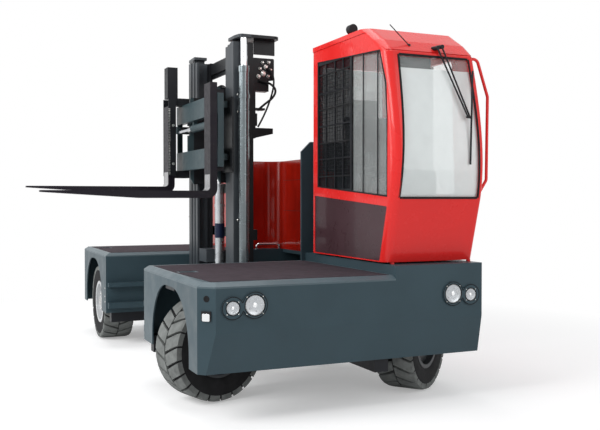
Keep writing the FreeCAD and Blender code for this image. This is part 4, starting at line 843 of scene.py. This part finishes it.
def chains():
    """Leaf chains hanging from the sheaves of the free lift; their lower ends are not fastened."""
    bm = bmesh.new()
    for side in (-1, 1):
        y = MAST_Y + side * CHAIN_SPREAD
        for x, z_low in ((FREE_CYLINDER_X - CHAIN_RUN_X, 2120), (FREE_CYLINDER_X + CHAIN_RUN_X, 1190)):
            for i, z in enumerate(range(z_low, CHAIN_TOP_Z, CHAIN_PITCH)):
                w = 11 if i % 2 else 8
                slab(bm, at(x - 5, y - w, z), at(x + 5, y + w, z + LINK_LENGTH))
    piece("lift_chains", bm, "chain", "chain_head", bevel=0.0015)


def cylinder_bands():
    """The painted band on the free lift's barrel, and bolt heads in front of the side cylinders."""
    bm = bmesh.new()
    lathe(bm, [(0, 0.0503), (0, 0.0515), (0.151, 0.0515), (0.151, 0.0503)],
          at(FREE_CYLINDER_X, MAST_Y, 1234), UP, 40)
    piece("free_lift_band", bm, "blue", "inner_stage")
    bm = bmesh.new()
    for side in (-1, 1):
        for z in (2635, 1440, 2470):
            place = at(CYLINDER_BOLT_X, MAST_Y + side * SIDE_CYLINDER_SPREAD, z)
            bolt(bm, place, OUT_LOAD_SIDE, 0.008, 0.006)
    piece("cylinder_bolts", bm, "zinc", "mast")


def valve_fittings():
    """Unions, caps and short hoses at the valve block on the upper bracket."""
    bm = bmesh.new()
    for i, z in enumerate((2725, 2770, 2815, 2860)):
        lathe(bm, [(0, 0.013), (0.012, 0.013), (0.014, 0.010), (0.030, 0.010), (0.030, 0)],
              at(1180 + 30 * (i % 2), VALVE_BACK_Y, z), -OUT_FRONT, 6)
    for x, z, r in VALVE_CAPS:
        k = r / 1000
        lathe(bm, [(0, k * 1.25), (0.008, k * 1.25), (0.008, k), (0.024, k), (0.030, k * 0.7), (0.030, 0)],
              at(x, VALVE_FRONT_Y, z), OUT_FRONT, 6 if r < 15 else 24)
    piece("valve_unions", bm, "zinc", "mast")
    thick_hose = [at(1165, 1885, 2790), at(1205, 1882, 2782), at(1288, 1882, 2764), at(1347, 1882, 2705),
                  at(1313, 1885, 2626), at(1221, 1896, 2559), at(1160, 1915, 2500)]
    thin_hose = [at(1240, 1885, 2925), at(1300, 1870, 2880), at(1322, 1872, 2760), at(1280, 1880, 2600),
                 at(1215, 1890, 2440), at(1165, 1915, 2340)]
    tube("valve_hose_0", thick_hose, 0.011, "hose", "mast", slot="black_plastic")
    tube("valve_hose_1", thin_hose, 0.009, "hose", "mast", slot="black_plastic")


# ---- forks

GUIDE_FACE_Y = 3075
RACK_X0 = 585
RACK_X1 = 603
RACK_Z = 1905
RACK_TEETH = 42
RACK_PITCH = 17
TOOTH_H = 9
GUIDE_BOLT_X = 637
HEEL_R = 35
WEAR_ON_BLADE = 150
WEAR_ON_SHANK = 120
WEAR_HALF_WIDTH = 80


def guide_fittings():
    """Toothed strip and bolts on the far fork's guide."""
    bm = bmesh.new()
    for i in range(RACK_TEETH):
        z = RACK_Z + i * RACK_PITCH
        slab(bm, at(RACK_X0, GUIDE_FACE_Y - 2, z), at(RACK_X1, GUIDE_FACE_Y, z + TOOTH_H))
    piece("guide_rack", bm, "zinc", "far_fork_guide")
    bm = bmesh.new()
    for z in (2020, 2432):
        bolt(bm, at(GUIDE_BOLT_X, GUIDE_FACE_Y, z), OUT_FRONT, 0.010, 0.007)
    piece("guide_bolts", bm, "zinc", "far_fork_guide")


def heel_wear(name, body, y, top, front):
    """The bright worn patch inside a fork's heel, from the blade's top round to the shank's front."""
    bm = bmesh.new()
    r = HEEL_R
    path = [(front - r - WEAR_ON_BLADE, top)]
    for k in range(9):
        a = math.radians(-90 + 90 * k / 8)
        path.append((front - r + r * math.cos(a), top + r + r * math.sin(a)))
    path.append((front, top + r + WEAR_ON_SHANK))
    rows = []
    for x, z in path:
        across = [y + s * WEAR_HALF_WIDTH for s in (-1, -0.4, 0.4, 1)]
        rows.append([bm.verts.new(at(x - 0.4, place, z + 0.4)) for place in across])
    for a, b in zip(rows, rows[1:]):
        for k in range(3):
            bm.faces.new([a[k], a[k + 1], b[k + 1], b[k]])
    piece(name, bm, "worn", body)


# ---- seat

CUSHION_SHRINK = 0.955
CUSHION_VOXEL = 0.012
PUFF_PRESSURE = 4.0
PUFF_FRAMES = 20
PUFF_LIMIT = 0.012


def cushion(name, node, material, body="chassis"):
    """A padded form from the CAD solid: remeshed, blown up a little as cloth, then smoothed."""
    source = NODES[node]
    mesh = source.data.copy()
    obj = bpy.data.objects.new(name, mesh)
    bpy.context.scene.collection.objects.link(obj)
    lo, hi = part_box(node)
    middle = (lo + hi) / 2
    for v in mesh.vertices:
        v.co = middle + (v.co - middle) * CUSHION_SHRINK
    bpy.context.view_layer.objects.active = obj
    r = obj.modifiers.new("remesh", "REMESH")
    r.mode = "VOXEL"
    r.voxel_size = CUSHION_VOXEL
    apply_modifiers(obj)
    rest = [v.co.copy() for v in obj.data.vertices]
    c = obj.modifiers.new("cloth", "CLOTH")
    c.settings.use_pressure = True
    c.settings.uniform_pressure_force = PUFF_PRESSURE
    c.settings.effector_weights.gravity = 0
    c.point_cache.frame_start = 1
    c.point_cache.frame_end = PUFF_FRAMES
    scene = bpy.context.scene
    for frame_number in range(1, PUFF_FRAMES + 1):
        scene.frame_set(frame_number)
    apply_modifiers(obj)
    scene.frame_set(1)
    for v, start in zip(obj.data.vertices, rest):
        step = v.co - start
        if step.length > PUFF_LIMIT:
            v.co = start + step.normalized() * PUFF_LIMIT
    s = obj.modifiers.new("smooth", "SUBSURF")
    s.levels = 1
    s.render_levels = 1
    obj.data.materials.clear()
    obj.data.materials.append(M[material])
    for p in obj.data.polygons:
        p.use_smooth = True
    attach(obj, body)
    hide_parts(node)


def apply_modifiers(obj):
    """Bakes the modifiers into the object's mesh and takes them off."""
    graph = bpy.context.evaluated_depsgraph_get()
    mesh = bpy.data.meshes.new_from_object(obj.evaluated_get(graph))
    obj.modifiers.clear()
    obj.data = mesh


# ---- stage

CAMERA_PLACE = (-1699, -5515, 1642)
CAMERA_LENS = 48.92
CAMERA_DROP = 1.14
CAMERA_TURN = -24.03
FLOOR_HALF = 40
WHITE = (1, 1, 1, 1)
FLOOR_GLOW = 0.32
FADE_START = 3.2
FADE_END = 6.0
ROOM_LIGHT = 0.38
# Each soft light's place in metres, power in watts and side in metres; all of them point at one place.
SOFT_LIGHTS = [((-7, -3, 6), 470, 4), ((3, -8, 4), 150, 5), ((0, 1, 9), 300, 6), ((-8, 3, 4), 200, 4)]
LIGHT_AIM = Vector((0, 0, 1))


def seen_ray(tree):
    """1 for rays that show the background: from the camera, off gloss and through glass."""
    path = tree.nodes.new("ShaderNodeLightPath")
    seen = path.outputs["Is Camera Ray"]
    for kind in ("Is Glossy Ray", "Is Transmission Ray"):
        either = tree.nodes.new("ShaderNodeMath")
        either.operation = "MAXIMUM"
        tree.links.new(seen, either.inputs[0])
        tree.links.new(path.outputs[kind], either.inputs[1])
        seen = either.outputs[0]
    return seen


def add_camera():
    camera = bpy.data.cameras.new("camera")
    camera.lens = CAMERA_LENS
    camera.sensor_width = 36
    obj = bpy.data.objects.new("camera", camera)
    obj.location = at(*CAMERA_PLACE)
    obj.rotation_euler = (math.radians(90 - CAMERA_DROP), 0, math.radians(CAMERA_TURN))
    bpy.context.scene.collection.objects.link(obj)
    bpy.context.scene.camera = obj


def floor_material():
    """White floor that takes shadows close by and fades to plain white further out."""
    m, tree, bsdf, out = new_material("floor_white")
    bsdf.inputs["Base Color"].default_value = (0.80, 0.80, 0.80, 1)
    bsdf.inputs["Roughness"].default_value = 0.85
    emission = tree.nodes.new("ShaderNodeEmission")
    emission.inputs[0].default_value = WHITE
    emission.inputs[1].default_value = FLOOR_GLOW
    add = tree.nodes.new("ShaderNodeAddShader")
    gate = tree.nodes.new("ShaderNodeMixShader")
    tree.links.new(bsdf.outputs[0], add.inputs[0])
    tree.links.new(emission.outputs[0], add.inputs[1])
    far = tree.nodes.new("ShaderNodeMapRange")
    far.inputs[1].default_value = FADE_START
    far.inputs[2].default_value = FADE_END
    coord = tree.nodes.new("ShaderNodeTexCoord")
    reach = tree.nodes.new("ShaderNodeVectorMath")
    reach.operation = "LENGTH"
    white = tree.nodes.new("ShaderNodeEmission")
    white.inputs[0].default_value = WHITE
    fade = tree.nodes.new("ShaderNodeMixShader")
    tree.links.new(coord.outputs["Object"], reach.inputs[0])
    tree.links.new(reach.outputs[1], far.inputs[0])
    tree.links.new(far.outputs[0], fade.inputs[0])
    tree.links.new(add.outputs[0], fade.inputs[1])
    tree.links.new(white.outputs[0], fade.inputs[2])
    tree.links.new(seen_ray(tree), gate.inputs[0])
    tree.links.new(bsdf.outputs[0], gate.inputs[1])
    tree.links.new(fade.outputs[0], gate.inputs[2])
    tree.links.new(gate.outputs[0], out.inputs[0])
    return m


def add_floor():
    bm = bmesh.new()
    bmesh.ops.create_grid(bm, x_segments=8, y_segments=8, size=FLOOR_HALF)
    mesh = bpy.data.meshes.new("floor")
    bm.to_mesh(mesh)
    bm.free()
    floor = bpy.data.objects.new("floor", mesh)
    floor.location.z = -0.001
    bpy.context.scene.collection.objects.link(floor)
    mesh.materials.append(floor_material())


def add_world():
    """White behind the truck, and a dimmer, slightly blue light all round it."""
    world = bpy.data.worlds.new("studio")
    bpy.context.scene.world = world
    world.use_nodes = True
    t = world.node_tree
    t.nodes.clear()
    out = t.nodes.new("ShaderNodeOutputWorld")
    seen = t.nodes.new("ShaderNodeBackground")
    seen.inputs[0].default_value = WHITE
    seen.inputs[1].default_value = 1.0
    lit = t.nodes.new("ShaderNodeBackground")
    lit.inputs[0].default_value = (0.95, 0.97, 1.0, 1)
    lit.inputs[1].default_value = ROOM_LIGHT
    mix = t.nodes.new("ShaderNodeMixShader")
    t.links.new(seen_ray(t), mix.inputs[0])
    t.links.new(lit.outputs[0], mix.inputs[1])
    t.links.new(seen.outputs[0], mix.inputs[2])
    t.links.new(mix.outputs[0], out.inputs[0])


def add_lights():
    for place, energy, size in SOFT_LIGHTS:
        light = bpy.data.lights.new("soft", "AREA")
        light.energy = energy
        light.size = size
        lamp = bpy.data.objects.new("soft", light)
        lamp.location = place
        lamp.rotation_euler = (LIGHT_AIM - Vector(place)).to_track_quat("-Z", "Y").to_euler()
        bpy.context.scene.collection.objects.link(lamp)


add_camera()
add_floor()
add_world()
add_lights()
bpy.context.scene.view_settings.view_transform = "Standard"
deck_mats()
wheels()
headlamps()
lamp_outlines()
corner_fittings()
rear_module_bolts()
body_seams()
side_gasket()
windscreen_gasket()
guard_mesh()
visor()
hood_details()
chains()
cylinder_bands()
valve_fittings()
guide_fittings()
heel_wear("near_heel_wear", "near_fork_slide", 1990, 1719, 674.5)
heel_wear("far_heel_wear", "far_fork_slide", 3182, 1774, 585)
cushion("seat_pad", "seat_cushion", "cloth")
cushion("seat_rest", "seat_back", "cloth")
